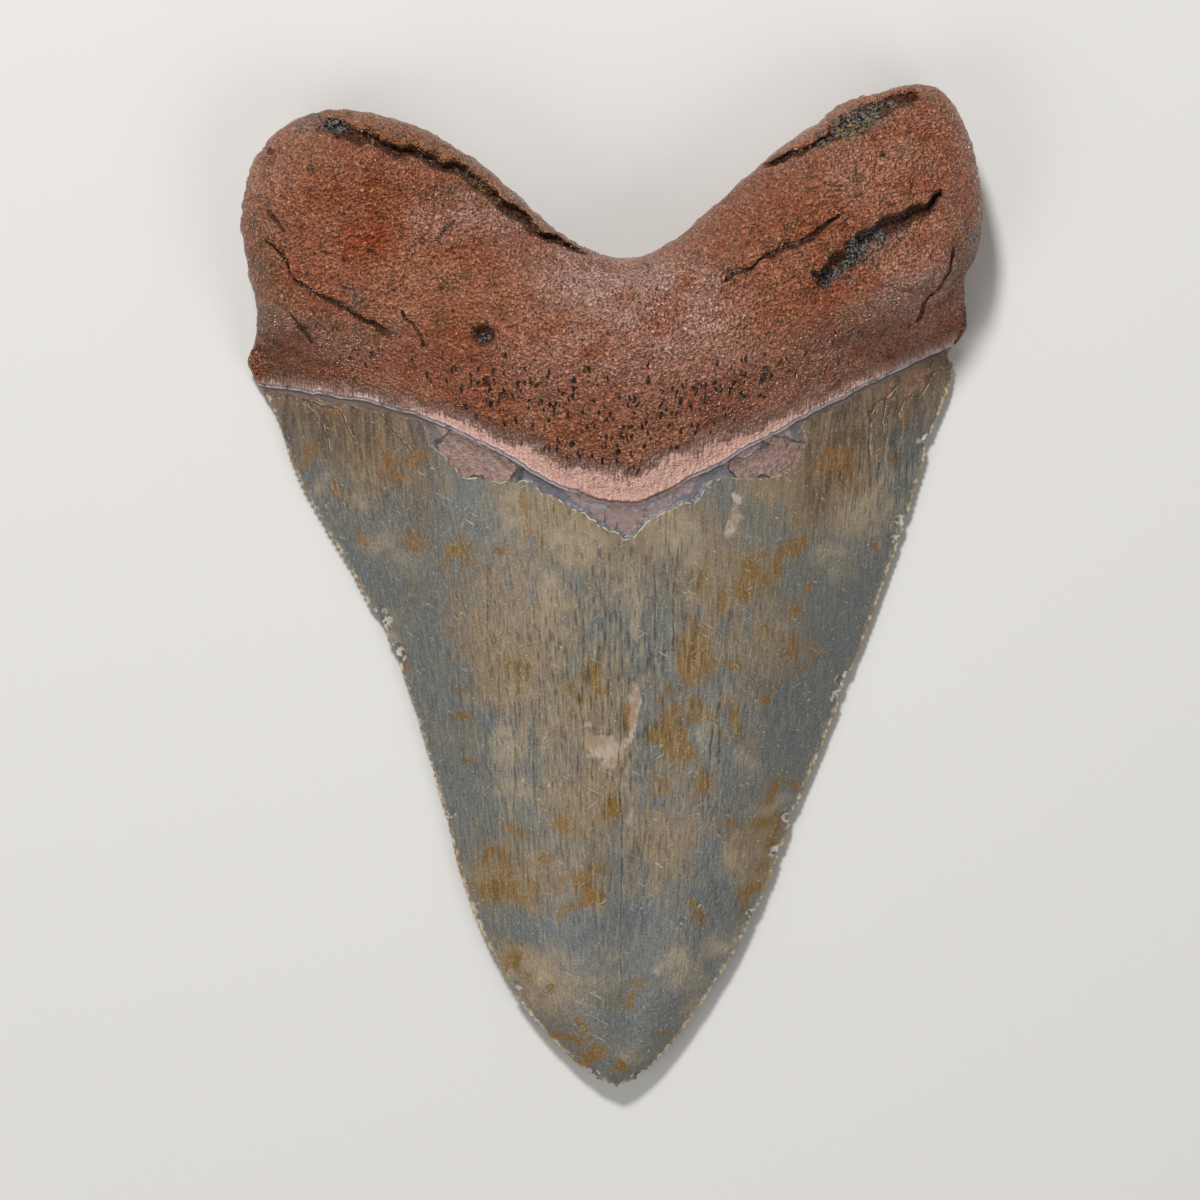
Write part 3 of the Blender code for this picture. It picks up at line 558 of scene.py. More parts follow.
def crown_rise(points):
    """How high the crown's lingual face stands over the cutting edges: a lens that thins to the tip."""
    x, y = points.T
    left = np.interp(y, SMOOTH_LEFT[:, 1], SMOOTH_LEFT[:, 0])
    right = np.interp(y, SMOOTH_RIGHT[::-1, 1], SMOOTH_RIGHT[::-1, 0])
    across = np.clip((x - left) / np.maximum(right - left, 0.1), 0, 1)
    from_tip = np.clip(y - TIP[1], 0, CROWN_HEIGHT + 20) / CROWN_HEIGHT
    return CROWN_RISE * from_tip**CROWN_TAPER * (4 * across * (1 - across)) ** CROWN_LENS


def root_top(points):
    """The lingual face of the root before it rounds off: two lobes that thin outwards, and the boss."""
    beyond = np.maximum(np.column_stack([np.abs(points[:, 0]), points[:, 1]]) - LOBE_THINS_BEYOND, 0)
    return ROOT_LOBE_TOP - (LOBE_THINNING * beyond**2).sum(axis=1) + humps(points, ROOT_SWELLINGS)


def near_to(points, line, reach):
    """Which points lie in the line's box, or within reach of it."""
    return ((points > line.min(axis=0) - reach) & (points < line.max(axis=0) + reach)).all(axis=1)


def groove_depths(points):
    """For each point: how deep the grooves and holes go, and how far into one of them it is, 0 to 1."""
    depth, dark = np.zeros(len(points)), np.zeros(len(points))
    for line, (_, half_widths, deepest) in zip(GROOVE_LINES, GROOVES):
        near = near_to(points, line, max(half_widths) + 0.5)
        off, done = path_distance(points[near], line)
        half = np.interp(done, np.linspace(0, 1, len(half_widths)), half_widths)
        half *= 1 + 0.25 * noise(points[near], 1.4, 41)
        into = np.clip(1 - (off / half) ** 2, 0, 1) * eased(np.minimum(done, 1 - done), 0.08)
        depth[near] = np.maximum(depth[near], deepest * into**0.8)
        dark[near] = np.maximum(dark[near], into)
    for x, y, half_width, half_height, deepest in HOLES:
        away = (points - (x, y)) / (half_width, half_height)
        into = np.clip(1.05 - (away**2).sum(axis=1) + 0.12 * noise(points, 1.2, 43), 0, 1)
        depth = np.maximum(depth, deepest * into**0.6)
        dark = np.maximum(dark, into)
    return depth, dark


def nearest_line(points, lines):
    """The distance to the nearest of the lines, and no more than their reach: negative on a line's left."""
    nearest = np.full(len(points), LINE_REACH)
    for line in lines:
        near = near_to(points, line, LINE_REACH)
        off = path_distance(points[near], line)[0]
        nearest[near] = np.where(np.abs(off) < np.abs(nearest[near]), off, nearest[near])
    return nearest


def mark_field(points, marks, ragged=RAGGED):
    """The strength of a set of marks: 1 and more in the middle of one, about 0.5 at its edge."""
    x, y = (points + 0.9 * np.stack([noise(points, 2.6, 51), noise(points, 2.6, 52)], axis=1)).T
    field = np.zeros(len(points))
    for centre_x, centre_y, half_width, half_height, strength, *tilt in marks:
        angle = math.radians(tilt[0] if tilt else 0)
        c, s = math.cos(angle), math.sin(angle)
        u = ((x - centre_x) * c + (y - centre_y) * s) / half_width
        v = ((y - centre_y) * c - (x - centre_x) * s) / half_height
        field = np.maximum(field, strength * np.exp(-MARK_FALL * (u * u + v * v)))
    return field + ragged * field * noise(points, 1.3, 53, 2)


def edge_scoops(points):
    """The hollows that chips leave in the lingual face beside the cutting edges, 0 to 1."""
    scoop = np.zeros(len(points))
    for side, middle, length, depth in CHIPS:
        line = SMOOTH_RIGHT if side == "right" else SMOOTH_LEFT
        order = np.argsort(line[:, 1])
        x = np.interp(middle, line[order, 1], line[order, 0])
        inwards = -1 if side == "right" else 1
        away = (points - (x + 0.5 * inwards, middle)) / (1.2 + 1.1 * depth, 0.55 * length)
        scoop = np.maximum(scoop, np.clip(1.15 - (away**2).sum(axis=1), 0, 1))
    return scoop


def relief(points, inset):
    """Ledges, grooves and flake scars of the lingual face, as heights to add."""
    below_rim = path_distance(points, RIM_LINE)[0]
    above_enamel = -path_distance(points, ENAMEL_LINE)[0]
    change = RIDGE_HEIGHT * np.exp(-((below_rim / RIDGE_WIDTH) ** 2))
    band = eased(above_enamel, 0.3) * eased(below_rim, 1.6)
    bare = eased(mark_field(points, BARE_OVALS, SMOOTH) - 0.45, 0.1)
    change -= ENAMEL_STEP * band * (1 + BARE_STEP_SHARE * bare)
    change -= groove_depths(points)[0]
    change -= SCAR_DEPTH * eased(mark_field(points, FLAKE_SCARS) - 0.4, 0.2)
    change -= WORN_DEPTH * eased(mark_field(points, WORN_MARKS) - 0.4, 0.15)
    off_crack = np.abs(nearest_line(points, CRACK_LINES + SEAM_LINES))
    change -= CRACK_DEPTH * np.clip(1 - off_crack / CRACK_HALF_WIDTH, 0, 1)
    return change * eased(inset, 0.8) - SCOOP_DEPTH * edge_scoops(points) * eased(inset, 0.4)


def lingual_height(points, inset):
    share = root_share(points, ROOT_RIM)
    crown = cutting_edge_level(points) + crown_rise(points)
    root = ROOT_EDGE_LEVEL + (root_top(points) - ROOT_EDGE_LEVEL) * rounded(inset, LINGUAL_ROUNDING)
    return crown + (root - crown) * share + relief(points, inset)


def labial_height(points, inset):
    """Flat at 0 in the middle of the crown and on the lobes, and rounding up to the edges.

    The root is hollow between the lobes.
    """
    share = root_share(points, LABIAL_NECK)
    crown = cutting_edge_level(points) * np.clip(1 - inset / LABIAL_FLAT_INSET, 0, 1) ** 2
    above_neck = neck_distance(points, LABIAL_NECK)
    hollow = LABIAL_STEP * eased(18 - above_neck, 10)
    hollow += LABIAL_HOLLOW * hump(points, HOLLOW_CENTRE, HOLLOW_SPREAD)
    hollow += LOBE_LIFT * np.maximum(points[:, 1] - 50, 0) ** 2
    root = ROOT_EDGE_LEVEL + (hollow - ROOT_EDGE_LEVEL) * rounded(inset, LABIAL_ROUNDING)
    step = LABIAL_STEP * eased(above_neck, 1.2) * (1 - share) * eased(inset, 4)
    return crown + (root - crown) * share + step


# The plan of points


def inside_by(row, inset):
    """The points of a row that are about this far inside the outline: a corner cuts the others off."""
    return row[inset_of(row) > 0.85 * inset]


def inset_rows(line, radius, degrees, spacing):
    """Rows of points inside an outline, closer together where a round edge is steep."""
    rows = []
    for angle in degrees:
        inset = radius * (1 - math.cos(math.radians(angle)))
        row = along(line, spacing)[1:-1]
        rows.append(inside_by(row + right_of(row) * inset, inset))
    return rows


def edge_rows():
    """Rows inside the serrated edges."""
    rows = []
    for points, side in ((RIGHT_CUTTING_EDGE, "right"), (LEFT_CUTTING_EDGE, "left")):
        line = along(points, SERRATION_PITCH / SERRATION_POINTS)
        inwards = right_of(line)
        for inset, step in EDGE_ROWS:
            row = line + inwards * (inset + chip_depth(side, line[:, 1]))[:, None]
            rows.append(inside_by(row[step::step], inset))
    return rows


def beside(line, offsets):
    """Rows of points along a line, at these distances to its right."""
    return [line + right_of(line) * offset for offset in offsets]


def lattice(spacing):
    """A triangular lattice of points over the whole tooth, a little shaken so that it shows no pattern."""
    x = np.arange(-HALF_WIDTH, HALF_WIDTH, spacing)
    y = np.arange(-HALF_LENGTH, HALF_LENGTH, spacing * math.sqrt(3) / 2)
    shift = (np.arange(len(y)) % 2) * spacing / 2
    columns, rows = x[None, :] + shift[:, None], np.broadcast_to(y[:, None], (len(y), len(x)))
    grid = np.stack([columns, rows], axis=2).reshape(-1, 2)
    shake = np.random.default_rng(SEED).uniform(-LATTICE_SHAKE, LATTICE_SHAKE, grid.shape)
    return grid + shake * spacing


def kept_apart(points, taken, gap):
    """The points that lie inside the outline and further than gap from every taken point."""
    points = points[inside(points, OUTLINE)]
    tree = KDTree(len(taken))
    for i, point in enumerate(taken):
        tree.insert((*point, 0), i)
    tree.balance()
    return points[[tree.find((*point, 0))[2] > gap for point in points]]


def thinned(points, gap):
    """The points without those that crowd an earlier one."""
    cells, kept = {}, []
    for point in points:
        column, row = int(point[0] // gap), int(point[1] // gap)
        near = [cells.get((column + i, row + j)) for i in (-1, 0, 1) for j in (-1, 0, 1)]
        if all(other is None or np.hypot(*(point - other)) > 0.8 * gap for other in near):
            cells[column, row] = point
            kept.append(point)
    return np.array(kept)


def filled(rows, regions):
    """Rows of points, with lattices added between them. A region is (spacing, which points are in it)."""
    plan = thinned(kept_apart(np.vstack(rows), OUTLINE, OUTLINE_GAP), ROW_GAP)
    for spacing, belongs in regions:
        more = lattice(spacing)
        more = kept_apart(more[belongs(more)], np.vstack([OUTLINE, plan]), LATTICE_GAP * spacing)
        plan = np.vstack([plan, more])
    return plan


def lingual_plan():
    rows = edge_rows() + inset_rows(ROOT_OUTLINE, LINGUAL_ROUNDING, range(8, 80, 4), ROOT_FACET)
    rows += beside(RIM_LINE, RIM_ROWS) + beside(ENAMEL_LINE, ENAMEL_ROWS)
    for line, (_, half_widths, _) in zip(GROOVE_LINES, GROOVES):
        rows += beside(line, np.mean(half_widths) * np.array(GROOVE_ROWS))
    for line in CRACK_LINES + SEAM_LINES:
        rows += beside(line, CRACK_ROWS)
    regions = [
        (ROOT_FACET, lambda p: neck_distance(p, ROOT_RIM) > -1),
        (CROWN_FACET, lambda p: neck_distance(p, ROOT_RIM) <= -1),
    ]
    return filled(rows, regions)


def labial_plan():
    rows = edge_rows() + inset_rows(ROOT_OUTLINE, LABIAL_ROUNDING, range(10, 80, 9), 0.8)
    rows += beside(along(LABIAL_NECK, 0.8), NECK_ROWS)
    return filled(rows, [(LABIAL_FACET, lambda p: np.ones(len(p), bool))])


def triangles(plan):
    """Delaunay triangles inside the outline, as indices of the outline's points followed by the plan's."""
    points = np.vstack([OUTLINE, plan])
    count = len(OUTLINE)
    edges = [(i, (i + 1) % count) for i in range(count)]
    made = delaunay_2d_cdt([Vector(p) for p in points], edges, [], 1, 1e-6, True)
    source = np.array([ids[0] for ids in made[3]])
    faces = source[np.array(made[2])]
    return faces[inside(points[faces].mean(axis=1), OUTLINE)]


def opened(plan):
    """The plan with a point on each edge that would join two points of the outline right across the tooth.

    Both faces of the tooth could have such an edge, and the mesh would be pinched along it.
    """
    while True:
        faces = triangles(plan)
        starts, ends = faces.ravel(), np.roll(faces, -1, axis=1).ravel()
        apart = np.abs(starts - ends)
        across = (np.maximum(starts, ends) < len(OUTLINE)) & (apart > 1) & (apart < len(OUTLINE) - 1)
        if not across.any():
            return plan, faces
        pairs = np.unique(np.sort(np.stack([starts, ends], axis=1)[across], axis=1), axis=0)
        plan = np.vstack([plan, OUTLINE[pairs].mean(axis=1)])


# Fields for the materials


def outwards(points, middle, start, width):
    """0 up to start on both sides of the middle, and 1 from this width beyond it."""
    return eased(np.abs(points[:, 0] - middle) - start, width)


def lingual_fields(points):
    """What the materials need to know at each point of the lingual face."""
    below_rim = path_distance(points, RIM_LINE)[0]
    inset = inset_of(points)
    from_ledge = path_distance(points, along(LEFT_RIM_GROOVE, 1.0))[0]
    return {
        "below_rim": below_rim,
        "above_enamel": -path_distance(points, ENAMEL_LINE)[0],
        "edge": inset,
        "groove": groove_depths(points)[1],
        "crack": nearest_line(points, CRACK_LINES),
        "seam": nearest_line(points, SEAM_LINES),
        "flank": outwards(points, *FLANKS),
        "side": outwards(points, *SIDES),
        "chip": edge_scoops(points),
        "porous": np.exp(-(((below_rim + 7.5) / 4.5) ** 2)) * humps(points, PORES_BY_NECK)
        + humps(points, OTHER_PORES),
        "painted_sheen": humps(points, PAINTED_SHEEN),
        "red": humps(points, RED),
        "gilt": humps(points, GILT),
        "pink": 2.8 + humps(points, PINK) + 0.5 * noise(points, 2.2, 71) + below_rim,
        "ledge": eased(-from_ledge, 0.8) * (inset < 5.5) * (points[:, 0] < 0),
        "striated": humps(points, STRIATED),
    } | {name: mark_field(points, *marks) for name, marks in MARK_FIELDS.items()}


def labial_fields(points):
    """The same for the labial face, where chance places the marks."""
    above_neck = neck_distance(points, LABIAL_NECK)
    none, far = np.zeros(len(points)), np.full(len(points), LINE_REACH)
    fields = dict.fromkeys(("groove", "flank", "side", "scar", "worn", "bare", "grit_and_highlight", "gold", "ledge"), none)
    for name, (usual, size, seed) in CHANCE_STAINS.items():
        fields[name] = usual + 0.5 * noise(points, size, seed, 3)
    return fields | {
        "below_rim": -above_neck,
        "above_enamel": above_neck + 1.6 + 0.4 * noise(points, 2.2, 81),
        "edge": inset_of(points),
        "crack": far,
        "seam": far,
        "chip": edge_scoops(points),
        "porous": 0.9 * np.exp(-(((above_neck - 6) / 5) ** 2)) * hump(points, (0, 34), (30, 30)),
        # A faint painted highlight all over the labial face
        "painted_sheen": none + 0.2,
        "red": 0.3 + 0.5 * noise(points, 14.0, 85),
        "gilt": none,
        "pink": 2.2 + 0.8 * noise(points, 2.2, 86) - above_neck,
        "striated": none + 0.6,
    }


# The mesh


def fitted(corners):
    """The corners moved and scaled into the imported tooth's box, and made metres."""
    low, high = (np.array(corner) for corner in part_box("tooth"))
    low, high = low + SKIN_GAP * MM, high - SKIN_GAP * MM
    low[2] -= SKIN_GAP * MM
    own_low, own_high = corners.min(axis=0), corners.max(axis=0)
    return low + (corners - own_low) * (high - low) / (own_high - own_low)


def roughened(corners, faces, on_root, lift):
    """The corners, moved along their normals by the roughness of the root or the slight one of the crown."""
    edges = corners[faces]
    normals = np.zeros_like(corners)
    across = np.cross(edges[:, 1] - edges[:, 0], edges[:, 2] - edges[:, 0])
    for k in range(3):
        np.add.at(normals, faces[:, k], across)
    normals /= np.maximum(np.linalg.norm(normals, axis=1, keepdims=True), 1e-9)
    root, crown = layered(corners, ROOT_ROUGHNESS), layered(corners, CROWN_ROUGHNESS)
    return corners + normals * ((root * on_root + crown * (1 - on_root)) * lift)[:, None]


def material_rows(fields, faces):
    """For each face: 0 on the root, 1 on the neck with a margin round it, 2 on the enamel."""
    below_rim, above_enamel = fields["below_rim"][faces], fields["above_enamel"][faces]
    on_root = (below_rim < -NECK_MARGIN).all(axis=1)
    on_enamel = (above_enamel < -NECK_MARGIN).all(axis=1) & (below_rim > NECK_MARGIN).all(axis=1)
    return np.where(on_root, 0, np.where(on_enamel, 2, 1)).astype(np.int32)


def placed(name, data):
    """A new object with this data, in the scene."""
    thing = bpy.data.objects.new(name, data)
    bpy.context.scene.collection.objects.link(thing)
    return thing


def tooth_object():
    """One closed mesh of the tooth, with the fields for its materials on its corners."""
    (lingual, top_faces), (under, under_faces) = opened(lingual_plan()), opened(labial_plan())
    top = np.vstack([OUTLINE, lingual])
    top_inset = np.append(np.zeros(len(OUTLINE)), inset_of(lingual))
    corners = np.vstack([
        np.column_stack([top, lingual_height(top, top_inset)]),
        np.column_stack([under, labial_height(under, inset_of(under))]),
    ])
    under_faces = np.where(under_faces < len(OUTLINE), under_faces, under_faces + len(lingual))[:, ::-1]
    faces = np.vstack([top_faces, under_faces])
    fields_top, fields_under = lingual_fields(top), labial_fields(under)
    fields = {name: np.append(fields_top[name], fields_under[name]) for name in fields_top}
    on_root = eased(-fields["below_rim"] - 0.5, 1.5)
    lift = np.append(eased(top_inset, 1.5), np.zeros(len(under)))
    corners = fitted(roughened(corners, faces, on_root, lift))

    mesh = bpy.data.meshes.new("tooth_skin")
    mesh.from_pydata(corners.tolist(), [], faces.tolist())
    for name, values in fields.items():
        mesh.attributes.new(name, "FLOAT", "POINT").data.foreach_set("value", values.astype(np.float32))
    mesh.shade_smooth()
    mesh.set_sharp_from_angle(angle=math.radians(SHARP_DEGREES))
    for material in (root_material(), neck_material(), enamel_material()):
        mesh.materials.append(material)
    mesh.polygons.foreach_set("material_index", material_rows(fields, faces))
    return placed("tooth_skin", mesh)


# The materials

SWAY_SCALE, SWAY = 0.7, 1.3
SEED_SHIFT = (1.7, 2.3, 3.1)
STROKE_LEAST = 0.79


def srgb(red, green, blue):
    """A display colour, 0 to 255, as linear light."""
    return tuple(((c / 255 + 0.055) / 1.055) ** 2.4 for c in (red, green, blue)) + (1.0,)


class Recipe:
    """Builds a node material step by step. A step takes numbers, colours or the results of other steps."""

    def __init__(self, name):
        self.material = bpy.data.materials.new(name)
        self.material.use_nodes = True
        self.tree = self.material.node_tree
        self.shader = self.tree.nodes["Principled BSDF"]
        coordinates = self.tree.nodes.new("ShaderNodeTexCoord").outputs["Object"]
        self.place = self.vector("SCALE", {0: coordinates, "Scale": 1 / MM})
        inputs = {"Vector": self.place, "Scale": SWAY_SCALE, "Detail": 1.0}
        sway = self.step("ShaderNodeTexNoise", {}, inputs, "Color")
        self.swayed = self.vector("MULTIPLY_ADD", {0: sway, 1: (SWAY, SWAY, SWAY), 2: self.place})

    def step(self, kind, settings, inputs, output):
        node = self.tree.nodes.new(kind)
        for name, value in settings.items():
            setattr(node, name, value)
        for name, value in inputs.items():
            self.put(node.inputs[name], value)
        return node.outputs[output]

    def put(self, socket, value):
        if isinstance(value, bpy.types.NodeSocket):
            self.tree.links.new(value, socket)
        else:
            socket.default_value = value

    def field(self, name):
        return self.step("ShaderNodeAttribute", {"attribute_name": name}, {}, "Fac")

    def vector(self, operation, inputs):
        return self.step("ShaderNodeVectorMath", {"operation": operation}, inputs, 0)

    # Numbers

    def calc(self, operation, *values):
        return self.step("ShaderNodeMath", {"operation": operation}, dict(enumerate(values)), 0)

    def times(self, first, *rest):
        for value in rest:
            first = self.calc("MULTIPLY", first, value)
        return first

    def scaled(self, value, factor, start):
        """The value times the factor, added to start."""
        return self.calc("MULTIPLY_ADD", value, factor, start)

    def without(self, value, share=1.0):
        """1 less this share of the value."""
        return self.scaled(value, -share, 1.0)

    def plus(self, value, *shifts):
        """The value with shifts, each up to half its amount either way as its pattern goes from 0 to 1."""
        for pattern, amount in shifts:
            value = self.calc("ADD", value, self.scaled(pattern, amount, -amount / 2))
        return value

    def ramp(self, value, start, end):
        """0 before start, 1 after end, and a smooth step between them. It may run downwards."""
        if start > end:
            return self.without(self.ramp(value, end, start))
        settings = {"interpolation_type": "SMOOTHSTEP", "clamp": True}
        inputs = {"Value": value, "From Min": start, "From Max": end}
        return self.step("ShaderNodeMapRange", settings, inputs, 0)

    def line(self, value, middle, half_width, soft):
        """1 within half a width of where the value is at the middle, falling off over the soft distance."""
        offset = self.calc("SUBTRACT", value, middle) if middle else value
        return self.ramp(self.calc("ABSOLUTE", offset), half_width + soft, half_width)

    def either(self, share, first, second):
        return self.step("ShaderNodeMix", {"data_type": "FLOAT"}, {0: share, 2: first, 3: second}, 0)

    # Colours

    def mix(self, kind, share, first, second):
        settings = {"data_type": "RGBA", "blend_type": kind}
        return self.step("ShaderNodeMix", settings, {0: share, 6: first, 7: second}, 2)

    def blend(self, share, first, second):
        return self.mix("MIX", share, first, second)

    def tinted(self, colour, share, most, *tint):
        """The colour, blended with a display colour: by most where the share is 1."""
        return self.blend(self.times(share, most), colour, srgb(*tint))

    def shaded(self, colour, share, factor):
        """The colour, multiplied by a grey of this factor where share is 1."""
        return self.mix("MULTIPLY", share, colour, (factor, factor, factor, 1.0))

    # Patterns

    def at(self, size, stretch, seed, angle=0, swayed=False):
        """The place in units of size. It may be turned about Z by degrees, and stretched along each axis."""
        place = self.swayed if swayed else self.place
        if angle:
            inputs = {"Vector": place, "Angle": math.radians(angle)}
            place = self.step("ShaderNodeVectorRotate", {"rotation_type": "Z_AXIS"}, inputs, 0)
        by = tuple(1 / (size * s) for s in stretch)
        return self.vector("MULTIPLY_ADD", {0: place, 1: by, 2: tuple(step * seed for step in SEED_SHIFT)})

    def noise(self, size, detail=2.0, stretch=(1, 1, 1), seed=0, roughness=0.55, angle=0):
        inputs = {"Vector": self.at(size, stretch, seed, angle), "Scale": 1.0}
        inputs |= {"Detail": detail, "Roughness": roughness}
        return self.step("ShaderNodeTexNoise", {"normalize": True}, inputs, 0)

    def cell_pattern(self, feature, size, stretch, seed):
        inputs = {"Vector": self.at(size, stretch, seed, swayed=True), "Scale": 1.0}
        return self.step("ShaderNodeTexVoronoi", {"feature": feature}, inputs, "Distance")

    def cells(self, size, stretch=(1, 1, 1), seed=0):
        """A pattern of cells: the distance from the middle of each, and a number of its own, 0 to 1."""
        distance = self.cell_pattern("F1", size, stretch, seed)
        return distance, self.step("ShaderNodeSeparateColor", {}, {0: distance.node.outputs["Color"]}, 0)

    def pores(self, size, reach, share, stretch=(1, 1, 1), seed=0):
        """Dots in a share of the cells, of up to this reach: 1 in a dot."""
        distance, chance = self.cells(size, stretch, seed)
        radius = self.times(self.ramp(self.calc("ADD", chance, share), 1.0, 1.3), reach)
        return self.ramp(self.calc("SUBTRACT", radius, distance), 0.0, 0.14)

    def strokes(self, angle, size, length, seed):
        """Thin lines at this angle, as scratches lie: 1 on a line."""
        lines = self.noise(size, 0.0, (length, 1.0, 3.0), seed, angle=angle)
        return self.ramp(lines, STROKE_LEAST, STROKE_LEAST + 0.05)


# The root's looks


def root_tones(r):
    """The patterns that the looks of the root share."""
    distance, chance = r.cells(0.52, seed=1)
    return SimpleNamespace(
        grain=r.noise(0.45, 1.0, roughness=0.6),
        pebble=r.ramp(distance, 0.6, 0.1),
        chance=chance,
        clumps=r.noise(1.7, 3.0, seed=2, roughness=0.6),
        swell=r.noise(5.0, 2.0, seed=4),
        painted_sheen=r.ramp(r.field("painted_sheen"), 0.15, 1.0),
    )


def root_stains(r, tone):
    """Sandy red with tan, red and gilt stains, a painted pink highlight, an orange ledge brightened with
    painted light, and dark crumbs.
    """
    broad = r.noise(12.0, 2.0, seed=3)
    colour = r.blend(r.ramp(broad, 0.35, 0.65), srgb(194, 108, 68), srgb(214, 138, 103))
    colour = r.tinted(colour, r.ramp(tone.clumps, 0.5, 0.75), 0.6, 212, 150, 124)
    colour = r.tinted(colour, r.ramp(r.noise(3.1, 3.0, seed=5), 0.54, 0.7), 0.6, 130, 98, 62)
    colour = r.tinted(colour, r.ramp(r.field("red"), 0.1, 1.1), 0.75, 186, 78, 28)
    colour = r.tinted(colour, r.ramp(r.field("gilt"), 0.1, 1.0), 0.45, 136, 96, 44)
    # Painted highlight: pinkish, where the root catches the light most
    colour = r.tinted(colour, r.times(tone.painted_sheen, r.ramp(tone.swell, 0.3, 0.6)), 0.8, 240, 182, 162)
    # The ledge's own orange, made lighter as a painted highlight where it faces the light
    colour = r.tinted(colour, r.field("ledge"), 0.6, 184, 118, 62)
    crumbs = r.ramp(r.scaled(r.field("ledge"), -0.05, tone.clumps), 0.4, 0.3)
    return r.tinted(colour, crumbs, 0.5, 66, 40, 22)


def grained(r, tone, colour):
    """With painted shade in the hollows of the grain and in the gaps between the grains of the root, dark
    specks in some of them, and painted glints on others.
    """
    # Painted shade in the hollows of the grain, which the bump also raises and sinks
    colour = r.tinted(colour, r.ramp(tone.grain, 0.5, 0.34), 0.5, 54, 25, 12)
    # Painted shade in the gaps between the grains, with dark specks in some of them
    between = r.times(r.ramp(tone.pebble, 0.3, 0.0), 0.45)
    pits_and_gap_shade = r.calc("MAXIMUM", r.times(r.ramp(tone.chance, 0.34, 0.0), tone.pebble), between)
    colour = r.tinted(colour, pits_and_gap_shade, 0.85, 40, 18, 12)
    # Painted glints: highlights painted on some grains, more where the painted pink highlight is
    lively = r.scaled(tone.painted_sheen, 0.12, r.scaled(tone.swell, 0.4, tone.chance))
    glints = r.times(tone.pebble, r.ramp(lively, 0.64, 1.12))
    glint_colour = r.blend(tone.painted_sheen, srgb(230, 172, 124), srgb(246, 212, 196))
    return r.blend(r.times(glints, r.scaled(tone.painted_sheen, 0.3, 0.65)), colour, glint_colour)


def grooved(r, tone, colour):
    """With painted shade in the grooves and holes, grey and yellow grains in them, and a painted highlight on
    some of their lit banks.
    """
    groove = r.ramp(r.field("groove"), 0.03, 0.45)
    grit_and_highlight = r.ramp(r.plus(r.field("grit_and_highlight"), (tone.clumps, 0.5)), 0.3, 0.7)
    grit_and_highlight_colour = r.blend(r.ramp(tone.grain, 0.42, 0.62), srgb(52, 49, 46), srgb(146, 141, 134))
    gold = r.times(r.ramp(r.field("gold"), 0.2, 0.6), r.ramp(r.noise(0.7, 1.0, seed=12), 0.52, 0.6))
    # Painted shade in the grooves and holes, darkest towards their middles
    colour = r.tinted(colour, groove, 0.75, 56, 38, 30)
    # Grey grains, and on the gouge's lower bank and the big hole's lower rim partly a painted highlight
    colour = r.blend(r.times(grit_and_highlight, r.either(groove, 0.45, 0.95)), colour, grit_and_highlight_colour)
    return r.tinted(colour, gold, 0.65, 190, 156, 96)


def root_look(r):
    """Colour, roughness and height in mm of the root: sandy red bone with pores, and pink by the neck."""
    tone = root_tones(r)
    colour = grained(r, tone, root_stains(r, tone))
    streaks = r.noise(0.42, 2.0, (0.8, 4.5, 2.0), seed=10)
    band = r.ramp(r.plus(r.field("pink"), (streaks, 2.4)), 0.0, 3.4)
    band_colour = r.blend(r.ramp(streaks, 0.3, 0.7), srgb(176, 134, 118), srgb(202, 164, 150))
    colour = r.blend(r.times(band, 0.92), colour, band_colour)
    porous = r.ramp(r.field("porous"), 0.1, 0.9)
    upright = r.pores(0.7, 0.4, r.scaled(porous, 0.8, 0.06), (1.0, 2.8, 1.5), seed=8)
    # Painted shade in the upright pores, which the bump also dents
    holes = r.times(upright, r.without(r.ramp(band, 0.4, 1.0), 0.75))
    colour = grooved(r, tone, r.tinted(colour, holes, 0.94, 20, 11, 8))

    height = r.calc("ADD", r.times(tone.grain, 2.2), r.times(tone.clumps, 2.1))
    height = r.scaled(tone.swell, 2.6, r.scaled(tone.pebble, 0.45, height))
    height = r.calc("SUBTRACT", r.times(height, r.without(band, 0.8)), r.times(upright, 0.8))
    return colour, r.scaled(band, 0.25, 0.2), height


# The bourlette's looks


def bourlette_skin(r, mottle):
    """Thin lavender skin with a slate foot, splits, flakes, and a painted shadow under the ridge."""
    above, below = r.field("above_enamel"), r.field("below_rim")
    side = r.field("side")
    skin = r.blend(side, srgb(142, 118, 114), srgb(168, 146, 146))
    colour = r.blend(r.ramp(mottle, 0.3, 0.6), srgb(130, 104, 100), skin)
    foot = r.ramp(r.calc("SUBTRACT", r.plus(above, (mottle, 1.2)), side), 0.9, 0.5)
    colour = r.tinted(colour, foot, 0.9, 96, 96, 102)
    splits = r.times(r.ramp(r.noise(0.8, 1.0, (1.0, 6.0, 1.0), seed=22), 0.64, 0.7), r.without(side))
    colour = r.tinted(colour, splits, 0.7, 92, 56, 48)
    flakes = r.times(r.line(below, 1.0, 0.25, 0.15), r.without(r.ramp(side, 0.0, 0.2)))
    flakes = r.times(flakes, r.ramp(r.noise(1.2, 1.0, seed=23), 0.5, 0.56))
    colour = r.tinted(colour, flakes, 0.8, 146, 150, 158)
    colour = r.tinted(colour, r.field("flank"), 0.85, 112, 92, 76)
    # Painted shadow: a thin dark line just under the ridge
    return r.shaded(colour, r.times(r.line(below, 0.5, 0.04, 0.16), side), 0.4)


